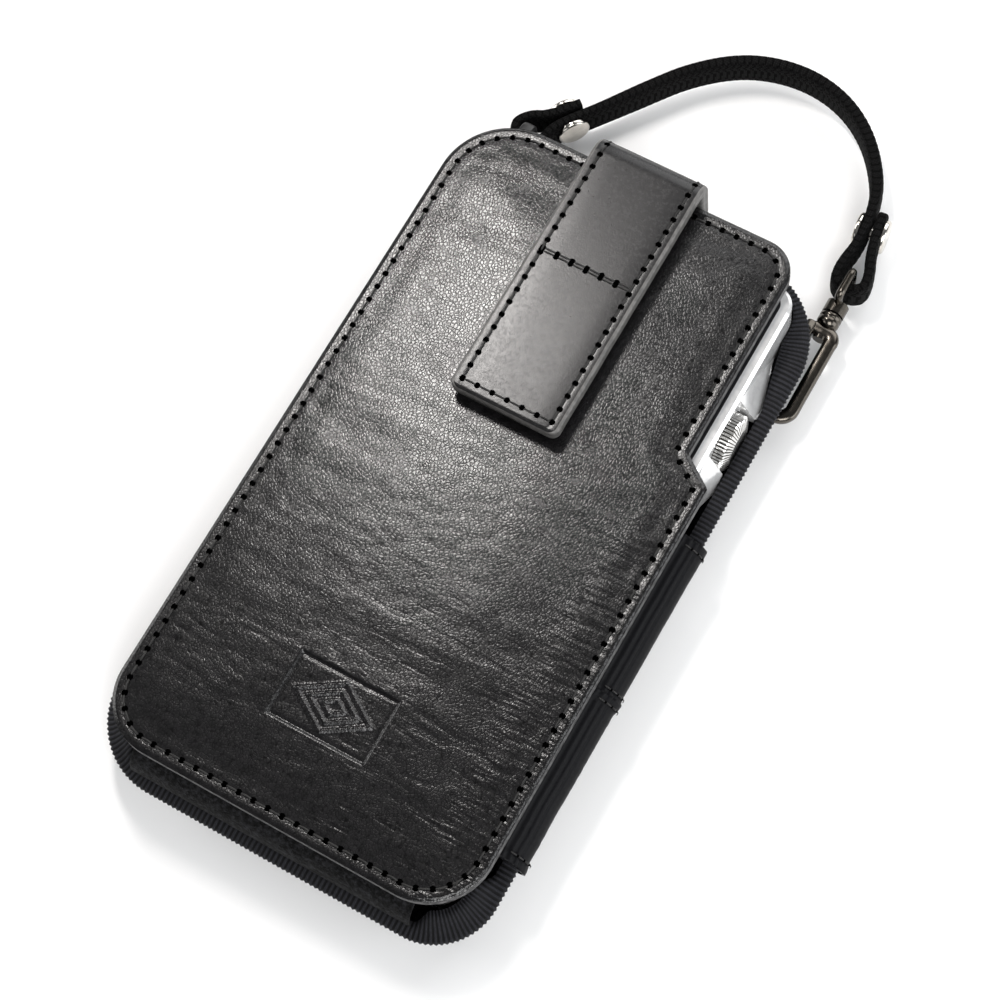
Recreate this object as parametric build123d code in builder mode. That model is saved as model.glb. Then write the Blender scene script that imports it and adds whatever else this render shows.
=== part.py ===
from build123d import *
import math
import os

# Leather carrying case for a pocket audio player, with its closure strap and hand strap.
# Millimetres. The case lies on its back: +Z leaves the front panel, +Y points to the mouth,
# +X is the wheel side. The origin is the middle of the back panel's outer face.

os.makedirs("parts", exist_ok=True)

# ---- driving dimensions ----
FRONT_WIDTH = 86.0
FRONT_BOTTOM = -76.7
FRONT_TOP = 81.6
FRONT_INSET = 7.0            # the upper right edge is set in, to bare the wheel
FRONT_R_TOP_LEFT = 16.0
FRONT_R_TOP_RIGHT = 7.6
FRONT_R_BOTTOM_LEFT = 13.0
FRONT_R_BOTTOM_RIGHT = 14.0
NOTCH_HIGH = 31.0
NOTCH_LOW = 26.0
FRONT_UNDERSIDE = 19.0
FRONT_FACE = 22.0            # top of the sewn edge
FRONT_CROWN = 23.2           # top of the padded middle
LINING_THICKNESS = 1.4
BOARD_THICKNESS = 0.8

BACK_THICKNESS = 2.6
WALL_HALF_WIDTH = 43.6
WALL_NARROW = 40.2           # the wall steps in here, beside the snap hook
WALL_STEP_LOW = 47.8
WALL_STEP_HIGH = 50.9
WALL_BOTTOM = -79.4
WALL_TOP = 79.0
WALL_THICKNESS = 0.9
WALL_TOP_Z = 9.0
WALL_R_BOTTOM = 12.4
WALL_R_TOP = 10.0
GUARD_PEAK = 50.6            # the rim leaves the wheel guard's side here
GUARD_FOOT = 66.0
WALL_END = 27.0              # the wall stops here on both sides of the mouth

RIM_HALF_WIDTH = 46.2
RIM_BOTTOM = -82.0
RIM_TOP = 81.3
RIM_HEIGHT = 2.4
RIM_TOP_RADIUS = 20.5
RIM_BOTTOM_RADIUS = 14.0

GUSSET_THICKNESS = 1.0
GUSSET_BOTTOM = -60.0
GUSSET_SEAM = -20.8
GUSSET_TOP = 16.5
BOTTOM_STRIP_HALF = 33.0

STRAP_WIDTH = 24.0
STRAP_X = -1.2
STRAP_END = 19.5
STRAP_LAYER = 1.6
STRAP_UNDERSIDE = 25.1
STRAP_BEND_RADIUS = 4.4
STRAP_BACK_Y = 85.4          # outer face of the strap's upright leg
STRAP_BASE_TOP = 20.0        # the flap bends between here and its foot
FLAP_FOOT = 22.1

PLAYER_HALF_WIDTH = 39.0
PLAYER_BOTTOM = -73.2
PLAYER_TOP = 74.8
PLAYER_LOW = 2.9
PLAYER_HIGH = 18.7
PLAYER_CORNER = 5.0
WHEEL_Y = 40.8
WHEEL_Z = 10.9
WHEEL_RADIUS = 6.6
WHEEL_INNER = 37.6
WHEEL_OUTER = 42.3

CORD_WIDTH = 8.0
CORD_THICKNESS = 2.5
CORD_Z = 6.2
CORD_LAYER = 1.35            # half the spacing of the two layers under a rivet
RIVET_CAP_RADIUS = 3.8
RIVET_CAP_HEIGHT = 1.0
RIVET_POST_RADIUS = 1.4
RIVET_EDGE = 0.7

HOOK_X = 44.9
HOOK_HALF_WIDTH = 4.2
HOOK_LOW = 51.0
HOOK_HIGH = 76.3
HOOK_ARM = 2.4
HOOK_DEPTH = 2.4
GATE_LOW = 60.8
GATE_PIN_Y = 72.4
EYE_BAR_Y = 88.2
EYE_BASE_Y = 81.6
EYE_HALF_HEIGHT = 5.1
EYE_WIRE_RADIUS = 0.9


def save(part, name):
    """Label a finished piece and write it to its own file."""
    part.label = name
    export_step(part, f"parts/{name}.step")


def rounded_outline(left, right, bottom, top, r_bottom, r_top_left, r_top_right):
    """Draw a closed outline with straight sides and arcs at its four corners."""
    Line((left + r_bottom, bottom), (right - r_bottom, bottom))
    RadiusArc((right - r_bottom, bottom), (right, bottom + r_bottom), -r_bottom)
    Line((right, bottom + r_bottom), (right, top - r_top_right))
    RadiusArc((right, top - r_top_right), (right - r_top_right, top), -r_top_right)
    Line((right - r_top_right, top), (left + r_top_left, top))
    RadiusArc((left + r_top_left, top), (left, top - r_top_left), -r_top_left)
    Line((left, top - r_top_left), (left, bottom + r_bottom))
    RadiusArc((left, bottom + r_bottom), (left + r_bottom, bottom), -r_bottom)


def front_outline(inset):
    """Draw the front panel's outline, set in by a distance, with the notch below the wheel."""
    half = FRONT_WIDTH / 2
    left = -half + inset
    right = half - inset
    upper = half - FRONT_INSET - inset
    low = FRONT_BOTTOM + inset
    high = FRONT_TOP - inset
    r_tl = FRONT_R_TOP_LEFT - inset
    r_tr = FRONT_R_TOP_RIGHT - inset * 0.8
    r_bl = FRONT_R_BOTTOM_LEFT - inset
    r_br = FRONT_R_BOTTOM_RIGHT - inset
    Line((left + r_bl, low), (right - r_br, low))
    RadiusArc((right - r_br, low), (right, low + r_br), -r_br)
    Line((right, low + r_br), (right, NOTCH_LOW - inset))
    Line((right, NOTCH_LOW - inset), (upper, NOTCH_HIGH - inset))
    Line((upper, NOTCH_HIGH - inset), (upper, high - r_tr))
    RadiusArc((upper, high - r_tr), (upper - r_tr, high), -r_tr)
    Line((upper - r_tr, high), (left + r_tl, high))
    RadiusArc((left + r_tl, high), (left, high - r_tl), -r_tl)
    Line((left, high - r_tl), (left, low + r_bl))
    RadiusArc((left, low + r_bl), (left + r_bl, low), -r_bl)


def stepped_outline(inset, right_low, right_high):
    """Draw the wall's outline in plan. Its sides step in, the right one between two heights."""
    wide = WALL_HALF_WIDTH - inset
    narrow = WALL_NARROW - inset
    low = WALL_BOTTOM + inset
    high = WALL_TOP - inset
    r_low = WALL_R_BOTTOM - inset
    r_high = WALL_R_TOP - inset
    Line((-wide + r_low, low), (wide - r_low, low))
    RadiusArc((wide - r_low, low), (wide, low + r_low), -r_low)
    Line((wide, low + r_low), (wide, right_low))
    Line((wide, right_low), (narrow, right_high))
    Line((narrow, right_high), (narrow, high - r_high))
    RadiusArc((narrow, high - r_high), (narrow - r_high, high), -r_high)
    Line((narrow - r_high, high), (-narrow + r_high, high))
    RadiusArc((-narrow + r_high, high), (-narrow, high - r_high), -r_high)
    Line((-narrow, high - r_high), (-narrow, WALL_STEP_HIGH))
    Line((-narrow, WALL_STEP_HIGH), (-wide, WALL_STEP_LOW))
    Line((-wide, WALL_STEP_LOW), (-wide, low + r_low))
    RadiusArc((-wide, low + r_low), (-wide + r_low, low), -r_low)


def wall_outline(inset):
    """Draw the wall, which steps in on both sides at the same height."""
    stepped_outline(inset, WALL_STEP_LOW, WALL_STEP_HIGH)


# ---- front panel: leather over foam and board, on a backing leather ----
PANEL_SPLIT = FRONT_UNDERSIDE + LINING_THICKNESS
CROWN_FOOT = 5.0             # the padded middle starts to rise this far inside the edge
FOAM_INSET = 7.0
CROWN_TAPER = 55.0
BOARD_INSET = 6.0

with BuildPart() as front_lining:
    with BuildSketch(Plane.XY.offset(FRONT_UNDERSIDE)):
        with BuildLine():
            front_outline(0)
        make_face()
    extrude(amount=LINING_THICKNESS)
save(front_lining.part, "front_panel_backing")

with BuildPart() as front_board:
    with BuildSketch(Plane.XY.offset(PANEL_SPLIT)):
        with BuildLine():
            front_outline(BOARD_INSET)
        make_face()
    extrude(amount=BOARD_THICKNESS)
save(front_board.part, "front_panel_board")

FOAM_LOW = PANEL_SPLIT + BOARD_THICKNESS
FOAM_HIGH = 22.2
with BuildPart() as front_foam:
    with BuildSketch(Plane.XY.offset(FOAM_LOW)):
        with BuildLine():
            front_outline(FOAM_INSET)
        make_face()
    extrude(amount=FOAM_HIGH - FOAM_LOW)
save(front_foam.part, "front_panel_foam")

with BuildPart() as front_leather:
    with BuildSketch(Plane.XY.offset(PANEL_SPLIT)):
        with BuildLine():
            front_outline(0)
        make_face()
    extrude(amount=FRONT_FACE - PANEL_SPLIT)
    with BuildSketch(Plane.XY.offset(FRONT_FACE)):
        with BuildLine():
            front_outline(CROWN_FOOT)
        make_face()
    extrude(amount=FRONT_CROWN - FRONT_FACE, taper=CROWN_TAPER)
    with BuildSketch(Plane.XY.offset(PANEL_SPLIT)):
        with BuildLine():
            front_outline(BOARD_INSET)
        make_face()
    extrude(amount=BOARD_THICKNESS, mode=Mode.SUBTRACT)
    with BuildSketch(Plane.XY.offset(FOAM_LOW)):
        with BuildLine():
            front_outline(FOAM_INSET)
        make_face()
    extrude(amount=FOAM_HIGH - FOAM_LOW, mode=Mode.SUBTRACT)
save(front_leather.part, "front_panel_leather")

# ---- back panel and wall ----
BACK_SKIN = 1.1
BACK_BOARD = 0.9
BACK_EDGE_CHAMFER = 0.8
with BuildPart() as back_leather:
    with BuildSketch():
        with BuildLine():
            wall_outline(0)
        make_face()
    extrude(amount=BACK_SKIN)
    chamfer(back_leather.faces().sort_by(Axis.Z)[0].edges(), BACK_EDGE_CHAMFER)
save(back_leather.part, "back_panel_leather")

with BuildPart() as back_board:
    with BuildSketch(Plane.XY.offset(BACK_SKIN)):
        with BuildLine():
            wall_outline(WALL_THICKNESS)
        make_face()
    extrude(amount=BACK_BOARD)
save(back_board.part, "back_panel_board")

BACK_LINING_LOW = BACK_SKIN + BACK_BOARD
with BuildPart() as back_lining:
    with BuildSketch(Plane.XY.offset(BACK_LINING_LOW)):
        with BuildLine():
            wall_outline(WALL_THICKNESS)
        make_face()
    extrude(amount=BACK_THICKNESS - BACK_LINING_LOW)
save(back_lining.part, "back_panel_lining")

MOUTH_DEPTH = 12.0
with BuildPart() as back_wall:
    with BuildSketch(Plane.XY.offset(BACK_SKIN)):
        with BuildLine():
            wall_outline(0)
        make_face()
        with BuildLine():
            wall_outline(WALL_THICKNESS)
        make_face(mode=Mode.SUBTRACT)
        with Locations((0, WALL_TOP)):
            Rectangle(2 * WALL_END, MOUTH_DEPTH, mode=Mode.SUBTRACT)
    extrude(amount=WALL_TOP_Z - BACK_SKIN)
save(back_wall.part, "back_wall")

# ---- ribbon-bound rim that stands out round the top of the wall ----
with BuildPart() as rim:
    with BuildSketch(Plane.XY.offset(WALL_TOP_Z)):
        with BuildLine():
            rounded_outline(-RIM_HALF_WIDTH, RIM_HALF_WIDTH, RIM_BOTTOM, RIM_TOP,
                            RIM_BOTTOM_RADIUS, RIM_TOP_RADIUS, RIM_TOP_RADIUS)
        make_face()
        with BuildLine():
            stepped_outline(WALL_THICKNESS, GUARD_PEAK, GUARD_FOOT)
        make_face(mode=Mode.SUBTRACT)
        with Locations((0, WALL_TOP)):
            Rectangle(2 * WALL_END, MOUTH_DEPTH, mode=Mode.SUBTRACT)
    extrude(amount=RIM_HEIGHT)
save(rim.part, "edge_binding")

# ---- gussets between the rim and the front panel ----
RIM_TOP_Z = WALL_TOP_Z + RIM_HEIGHT
GUSSET_FOOT = WALL_HALF_WIDTH + 1.6
GUSSET_KNEE = WALL_HALF_WIDTH + 1.0
GUSSET_KNEE_Z = 16.4
GUSSET_HEAD = WALL_HALF_WIDTH - 2.0
GUSSET_LAP = 1.3             # width of the part that is sewn under the front panel
KNEE_DROP = 0.4


def gusset_profile(side):
    """Draw a gusset's bulged section in the XZ plane, on one side of the case."""
    Polyline(
        (side * GUSSET_FOOT, RIM_TOP_Z),
        (side * GUSSET_KNEE, GUSSET_KNEE_Z),
        (side * GUSSET_HEAD, FRONT_UNDERSIDE),
        (side * (GUSSET_HEAD - GUSSET_LAP), FRONT_UNDERSIDE),
        (side * (GUSSET_KNEE - GUSSET_THICKNESS), GUSSET_KNEE_Z - KNEE_DROP),
        (side * (GUSSET_FOOT - GUSSET_THICKNESS), RIM_TOP_Z),
        close=True,
    )


for side, side_name in ((1, "right"), (-1, "left")):
    for low, high, level in ((GUSSET_BOTTOM, GUSSET_SEAM, "lower"), (GUSSET_SEAM, GUSSET_TOP, "upper")):
        with BuildPart() as gusset:
            with BuildSketch(Plane.XZ.offset(-high)):
                with BuildLine():
                    gusset_profile(side)
                make_face()
            extrude(amount=high - low)
        save(gusset.part, f"{side_name}_gusset_{level}")

STRIP_FOOT = WALL_BOTTOM - 0.4
STRIP_KNEE = STRIP_FOOT + GUSSET_THICKNESS
STRIP_HEAD = FRONT_BOTTOM + 1.6
with BuildPart() as bottom_strip:
    with BuildSketch(Plane.YZ.offset(-BOTTOM_STRIP_HALF)):
        with BuildLine():
            Polyline(
                (STRIP_FOOT, RIM_TOP_Z),
                (STRIP_KNEE, GUSSET_KNEE_Z),
                (STRIP_HEAD, FRONT_UNDERSIDE),
                (STRIP_HEAD + GUSSET_LAP, FRONT_UNDERSIDE),
                (STRIP_KNEE + GUSSET_THICKNESS, GUSSET_KNEE_Z - KNEE_DROP),
                (STRIP_KNEE, RIM_TOP_Z),
                close=True,
            )
        make_face()
    extrude(amount=2 * BOTTOM_STRIP_HALF)
save(bottom_strip.part, "bottom_gusset")

# ---- closure strap: two leather layers over the mouth, held by hook-and-loop tape ----
STRAP_TOP = STRAP_UNDERSIDE + 2 * STRAP_LAYER
STRAP_FRONT_Y = STRAP_BACK_Y - 2 * STRAP_LAYER


def strap_layer(inner, outer):
    """Draw one strap layer's side view: flat over the panel, then round the mouth's edge."""
    bend_y = STRAP_BACK_Y - STRAP_BEND_RADIUS
    bend_z = STRAP_TOP - STRAP_BEND_RADIUS
    r_inner = STRAP_BEND_RADIUS - (STRAP_TOP - inner)
    r_outer = STRAP_BEND_RADIUS - (STRAP_TOP - outer)
    Line((STRAP_END, inner), (bend_y, inner))
    RadiusArc((bend_y, inner), (bend_y + r_inner, bend_z), r_inner)
    Line((bend_y + r_inner, bend_z), (bend_y + r_inner, FLAP_FOOT))
    Line((bend_y + r_inner, FLAP_FOOT), (bend_y + r_outer, FLAP_FOOT))
    Line((bend_y + r_outer, FLAP_FOOT), (bend_y + r_outer, bend_z))
    RadiusArc((bend_y + r_outer, bend_z), (bend_y, outer), -r_outer)
    Line((bend_y, outer), (STRAP_END, outer))
    Line((STRAP_END, outer), (STRAP_END, inner))


STRAP_SIDE = Plane.YZ.offset(STRAP_X - STRAP_WIDTH / 2)
with BuildPart() as strap_lining:
    with BuildSketch(STRAP_SIDE):
        with BuildLine():
            strap_layer(STRAP_UNDERSIDE, STRAP_UNDERSIDE + STRAP_LAYER)
        make_face()
    extrude(amount=STRAP_WIDTH)
save(strap_lining.part, "closure_strap_lining")

with BuildPart() as strap_outer:
    with BuildSketch(STRAP_SIDE):
        with BuildLine():
            strap_layer(STRAP_UNDERSIDE + STRAP_LAYER, STRAP_TOP)
        make_face()
    extrude(amount=STRAP_WIDTH)
save(strap_outer.part, "closure_strap_outer")

STRAP_FOOT_BEVEL = 1.0
with BuildPart() as strap_base:
    with Locations((STRAP_X, STRAP_BACK_Y, 0)):
        Box(STRAP_WIDTH, 2 * STRAP_LAYER, STRAP_BASE_TOP, align=(Align.CENTER, Align.MAX, Align.MIN))
    with Locations((STRAP_X, STRAP_FRONT_Y, 0)):
        Box(STRAP_WIDTH, STRAP_FRONT_Y - WALL_TOP, BACK_SKIN, align=(Align.CENTER, Align.MAX, Align.MIN))
    foot_edges = strap_base.edges().filter_by(Axis.X).group_by(Axis.Z)[0]
    chamfer(foot_edges.sort_by(Axis.Y)[-1], STRAP_FOOT_BEVEL)
save(strap_base.part, "closure_strap_base")

TAPE_WIDTH = 20.4
TAPE_X = STRAP_X + 0.5
TAPE_LOW = 24.0
TAPE_LENGTH = 36.0
LOOP_TAPE = 0.8
HOOK_TAPE = 0.8
with BuildPart() as loop_tape:
    with Locations((TAPE_X, TAPE_LOW, FRONT_CROWN)):
        Box(TAPE_WIDTH, TAPE_LENGTH, LOOP_TAPE, align=(Align.CENTER, Align.MIN, Align.MIN))
save(loop_tape.part, "closure_loop_tape")

with BuildPart() as hook_tape:
    with Locations((TAPE_X, TAPE_LOW, STRAP_UNDERSIDE)):
        Box(TAPE_WIDTH, TAPE_LENGTH, HOOK_TAPE, align=(Align.CENTER, Align.MIN, Align.MAX))
save(hook_tape.part, "closure_hook_tape")

# ---- player: frame, glasses, volume wheel and its shaft ----
FRAME_WALL = 2.4
FRAME_BEVEL_FRONT = 0.7
FRAME_BEVEL_BACK = 1.2
GLASS = 1.0
BOSS_DEPTH = 9.0             # solid metal behind the wheel, which carries its shaft
RECESS_RADIUS = WHEEL_RADIUS + 0.3
SHAFT_RADIUS = 1.5
SHAFT_CLEARANCE = 0.05
SHAFT_LENGTH = 6.0
GUARD_LOW = 9.2
GUARD_HIGH = 17.9
GUARD_END = 15.6             # how far a guard facet reaches from the wheel's edge


def player_outline(inset):
    """Draw the player's outline in plan, set in by a distance."""
    half = PLAYER_HALF_WIDTH - inset
    rounded_outline(-half, half, PLAYER_BOTTOM + inset, PLAYER_TOP - inset,
                    PLAYER_CORNER - inset, PLAYER_CORNER - inset, PLAYER_CORNER - inset)


with BuildPart() as player_frame:
    with BuildSketch(Plane.XY.offset(PLAYER_LOW)):
        with BuildLine():
            player_outline(0)
        make_face()
    extrude(amount=PLAYER_HIGH - PLAYER_LOW)
    chamfer(player_frame.faces().sort_by(Axis.Z)[-1].edges(), FRAME_BEVEL_FRONT)
    chamfer(player_frame.faces().sort_by(Axis.Z)[0].edges(), FRAME_BEVEL_BACK)
    with BuildSketch(Plane.XY.offset(PLAYER_LOW)):
        with BuildLine():
            player_outline(FRAME_WALL)
        make_face()
    extrude(amount=PLAYER_HIGH - PLAYER_LOW, mode=Mode.SUBTRACT)
    with Locations((PLAYER_HALF_WIDTH, WHEEL_Y, PLAYER_LOW + GLASS)):
        Box(BOSS_DEPTH, 2 * RECESS_RADIUS + 2.0, PLAYER_HIGH - PLAYER_LOW - 2 * GLASS,
            align=(Align.MAX, Align.CENTER, Align.MIN))
    with Locations(Plane.YZ.offset(WHEEL_INNER - 0.3)):
        with Locations((WHEEL_Y, WHEEL_Z)):
            Cylinder(RECESS_RADIUS, BOSS_DEPTH, align=(Align.CENTER, Align.CENTER, Align.MIN),
                     mode=Mode.SUBTRACT)
    with Locations(Plane.YZ.offset(PLAYER_HALF_WIDTH)):
        with Locations((WHEEL_Y, WHEEL_Z)):
            Cylinder(SHAFT_RADIUS + SHAFT_CLEARANCE, BOSS_DEPTH + 0.5,
                     align=(Align.CENTER, Align.CENTER, Align.MAX), mode=Mode.SUBTRACT)
save(player_frame.part, "player_frame")

for way, guard_name in ((1, "upper"), (-1, "lower")):
    near = WHEEL_Y + way * (RECESS_RADIUS + 0.1)
    far = near + way * GUARD_END
    crease_high = Vector(PLAYER_HALF_WIDTH, near + way * 0.4, GUARD_HIGH)
    crease_low = Vector(PLAYER_HALF_WIDTH, far, GUARD_LOW)
    peak = Vector(WHEEL_OUTER, near + way * 1.6, GUARD_LOW + 1.4)
    facet_normal = (crease_low - crease_high).cross(peak - crease_high)
    if facet_normal.X < 0:
        facet_normal = facet_normal * -1
    with BuildPart() as guard:
        with Locations((PLAYER_HALF_WIDTH, near, GUARD_LOW)):
            Box(WHEEL_OUTER - PLAYER_HALF_WIDTH, GUARD_END, GUARD_HIGH - GUARD_LOW,
                align=(Align.MIN, Align.MIN if way > 0 else Align.MAX, Align.MIN))
        split(bisect_by=Plane(origin=crease_high, z_dir=facet_normal), keep=Keep.BOTTOM)
    save(guard.part, f"player_wheel_guard_{guard_name}")

with BuildPart() as screen_glass:
    with BuildSketch(Plane.XY.offset(PLAYER_HIGH - GLASS)):
        with BuildLine():
            player_outline(FRAME_WALL)
        make_face()
    extrude(amount=GLASS)
save(screen_glass.part, "player_screen_glass")

with BuildPart() as back_glass:
    with BuildSketch(Plane.XY.offset(PLAYER_LOW)):
        with BuildLine():
            player_outline(FRAME_WALL)
        make_face()
    extrude(amount=GLASS)
save(back_glass.part, "player_back_glass")

INNARDS_GAP = 8.0
with BuildPart() as battery_pack:
    with Locations((-INNARDS_GAP / 2, 0, (PLAYER_LOW + PLAYER_HIGH) / 2)):
        Box(2 * PLAYER_HALF_WIDTH - 2 * FRAME_WALL - 2 * INNARDS_GAP, PLAYER_TOP - PLAYER_BOTTOM - 20.0,
            PLAYER_HIGH - PLAYER_LOW - 2 * GLASS)
save(battery_pack.part, "player_battery_and_board")

with BuildPart() as wheel_shaft:
    with Locations(Plane.YZ.offset(WHEEL_INNER)):
        with Locations((WHEEL_Y, WHEEL_Z)):
            Cylinder(SHAFT_RADIUS, SHAFT_LENGTH, align=(Align.CENTER, Align.CENTER, Align.MAX))
save(wheel_shaft.part, "player_wheel_shaft")

KNURLS = 48
KNURL_RADIUS = 0.28
DISH_WIDTH = 1.6
DISH_DEPTH = 0.5
with BuildPart() as wheel:
    with BuildSketch(Plane.YZ.offset(WHEEL_INNER)):
        with Locations((WHEEL_Y, WHEEL_Z)):
            Circle(WHEEL_RADIUS)
            with PolarLocations(WHEEL_RADIUS, KNURLS):
                Circle(KNURL_RADIUS, mode=Mode.SUBTRACT)
    extrude(amount=WHEEL_OUTER - WHEEL_INNER)
    with BuildSketch(Plane.YZ.offset(WHEEL_OUTER)):
        with Locations((WHEEL_Y, WHEEL_Z)):
            Circle(WHEEL_RADIUS - DISH_WIDTH)
    extrude(amount=-DISH_DEPTH, mode=Mode.SUBTRACT)
save(wheel.part, "player_volume_wheel")

# ---- hand strap: a flat braided cord on its edge, folded round the tab and the hook's eye ----
LEFT_FOLD = Vector(-34.4, 87.2)
LEFT_RIVET = Vector(-28.8, 94.3)
RIGHT_FOLD = Vector(HOOK_X, EYE_BAR_Y)
RIGHT_RIVET = Vector(43.4, 100.3)
FOLD_RADIUS = 3.45
FOLD_TURN = 0.9 * FOLD_RADIUS
TAIL = 3.7
FLAT_BELOW = 3.9             # the layers lie together this far towards the fold
FLAT_ABOVE = 7.0

left_along = (LEFT_RIVET - LEFT_FOLD).normalized()
left_across = Vector(left_along.Y, -left_along.X)
right_along = (RIGHT_RIVET - RIGHT_FOLD).normalized()
right_across = Vector(-right_along.Y, right_along.X)


def fold_points(fold, rivet, along, across):
    """List the route of one riveted fold, from its cut tail round to the free strand."""
    return [
        rivet - across * CORD_LAYER + along * TAIL,
        rivet - across * CORD_LAYER - along * FLAT_BELOW,
        fold - across * FOLD_RADIUS + along * 1.6,
        fold - across * FOLD_TURN - along * 3.2,
        fold + across * FOLD_TURN - along * 3.2,
        fold + across * FOLD_RADIUS + along * 1.6,
        rivet + across * CORD_LAYER - along * FLAT_BELOW,
        rivet + across * CORD_LAYER + along * FLAT_ABOVE,
    ]


ARC_POINTS = [
    Vector(-16.7, 108.2),
    Vector(-10.4, 116.6),
    Vector(-1.6, 123.9),
    Vector(7.4, 127.2),
    Vector(16.4, 127.7),
    Vector(24.9, 125.4),
    Vector(32.3, 120.4),
    Vector(37.9, 113.6),
]
left_end = fold_points(LEFT_FOLD, LEFT_RIVET, left_along, left_across)
right_end = fold_points(RIGHT_FOLD, RIGHT_RIVET, right_along, right_across)
right_end.reverse()
route = left_end + ARC_POINTS + right_end


def corner_radii(points):
    """Give each corner the largest arc that its two runs allow."""
    radii = []
    for before, here, after in zip(points, points[1:], points[2:]):
        turn = (here - before).get_angle(after - here)
        shorter = min((here - before).length, (after - here).length)
        radii.append(0.45 * shorter / math.tan(math.radians(turn / 2)))
    return radii


radii = corner_radii(route)
print("hand strap cord radii, mm:", [round(r, 1) for r in radii])

with BuildPart() as cord:
    with BuildLine(Plane.XY.offset(CORD_Z)) as cord_path:
        FilletPolyline(*[(p.X, p.Y) for p in route], radius=radii)
    start = cord_path.wires()[0]
    with BuildSketch(Plane(origin=start @ 0, z_dir=start % 0, x_dir=(0, 0, 1))):
        Rectangle(CORD_WIDTH, CORD_THICKNESS)
    sweep()
    for rivet, across in ((LEFT_RIVET, left_across), (RIGHT_RIVET, right_across)):
        hole = Plane(origin=(rivet.X, rivet.Y, CORD_Z), z_dir=(across.X, across.Y, 0))
        with Locations(hole):
            Cylinder(RIVET_POST_RADIUS + 0.05, 8.0, mode=Mode.SUBTRACT)
path_length = cord_path.wires()[0].length
print("hand strap cord length, mm:", round(path_length, 1))
print("section times length:", round(path_length * CORD_WIDTH * CORD_THICKNESS, 1))
print("volume:", round(cord.part.volume, 1))
save(cord.part, "hand_strap_cord")

# ---- double-cap rivets: a cap with a post, and a cap pressed on its end ----
STACK_HALF = CORD_LAYER + CORD_THICKNESS / 2
for rivet, across, rivet_name in (
    (LEFT_RIVET, left_across, "left"),
    (RIGHT_RIVET, right_across, "right"),
):
    for way, cap_name in ((1, "cap"), (-1, "base")):
        axis = Plane(
            origin=(rivet.X + way * across.X * STACK_HALF, rivet.Y + way * across.Y * STACK_HALF, CORD_Z),
            z_dir=(way * across.X, way * across.Y, 0),
        )
        with BuildPart(axis) as cap:
            Cylinder(RIVET_CAP_RADIUS, RIVET_CAP_HEIGHT, align=(Align.CENTER, Align.CENTER, Align.MIN))
            outer_face = cap.faces().sort_by(Axis(axis.origin, axis.z_dir))[-1]
            fillet(outer_face.edges(), RIVET_EDGE)
            Cylinder(RIVET_POST_RADIUS, STACK_HALF, align=(Align.CENTER, Align.CENTER, Align.MAX))
        save(cap.part, f"{rivet_name}_rivet_{cap_name}")

# ---- left tab: a leather loop from the back panel's corner, through the cord's fold ----
TAB_WIDTH = 2.8
TAB_THICKNESS = 1.3
TAB_HALF_HEIGHT = 4.3
TAB_LENGTH = 9.6
with BuildPart() as left_tab:
    with BuildSketch(Plane.YZ.offset(LEFT_FOLD.X - TAB_WIDTH / 2)):
        with Locations((LEFT_FOLD.Y + TAB_THICKNESS / 2, CORD_Z)):
            Rectangle(TAB_LENGTH, 2 * (TAB_HALF_HEIGHT + TAB_THICKNESS), align=(Align.MAX, Align.CENTER))
        with Locations((LEFT_FOLD.Y - TAB_THICKNESS / 2, CORD_Z)):
            Rectangle(TAB_LENGTH, 2 * TAB_HALF_HEIGHT, align=(Align.MAX, Align.CENTER),
                      mode=Mode.SUBTRACT)
    extrude(amount=TAB_WIDTH)
    add(rim.part, mode=Mode.SUBTRACT)
    add(back_wall.part, mode=Mode.SUBTRACT)
save(left_tab.part, "left_strap_tab")

# ---- right tab: a webbing loop from the wall, round the hook's short arm ----
ARM_LEFT = HOOK_X - HOOK_HALF_WIDTH
RIGHT_TAB_LOW = 56.2
RIGHT_TAB_HIGH = 60.2
RIGHT_TAB_THICKNESS = 1.0
RIGHT_TAB_ROOM = 0.3
with BuildPart() as right_tab:
    with BuildSketch(Plane.XZ.offset(-RIGHT_TAB_HIGH)):
        room_high = HOOK_DEPTH / 2 + RIGHT_TAB_ROOM
        tab_end = ARM_LEFT + HOOK_ARM + RIGHT_TAB_ROOM
        with Locations((tab_end + RIGHT_TAB_THICKNESS, CORD_Z)):
            Rectangle(tab_end + RIGHT_TAB_THICKNESS - WALL_NARROW,
                      2 * (room_high + RIGHT_TAB_THICKNESS), align=(Align.MAX, Align.CENTER))
        with Locations((tab_end, CORD_Z)):
            Rectangle(tab_end - WALL_NARROW - 0.2, 2 * room_high, align=(Align.MAX, Align.CENTER),
                      mode=Mode.SUBTRACT)
    extrude(amount=RIGHT_TAB_HIGH - RIGHT_TAB_LOW)
save(right_tab.part, "right_strap_tab")

# ---- snap hook: body, sprung gate on its pin, and a swivelling eye ----
ARM_RIGHT_INNER = HOOK_X + HOOK_HALF_WIDTH - HOOK_ARM
SHOULDER_LOW = 73.4
BOW_THICKNESS = 3.0
HOOK_SHOULDER_RADIUS = 1.8
FORK_PLATE = 0.7
PIN_RADIUS = 0.6
PIN_CLEARANCE = 0.05
GATE_THICKNESS = 1.3
BARREL_RADIUS = 2.5
BARREL_SPLIT = 78.8
POST_RADIUS = 1.1
fork_half = HOOK_DEPTH / 2 + 0.3
pin_x = ARM_LEFT + HOOK_ARM / 2

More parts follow.
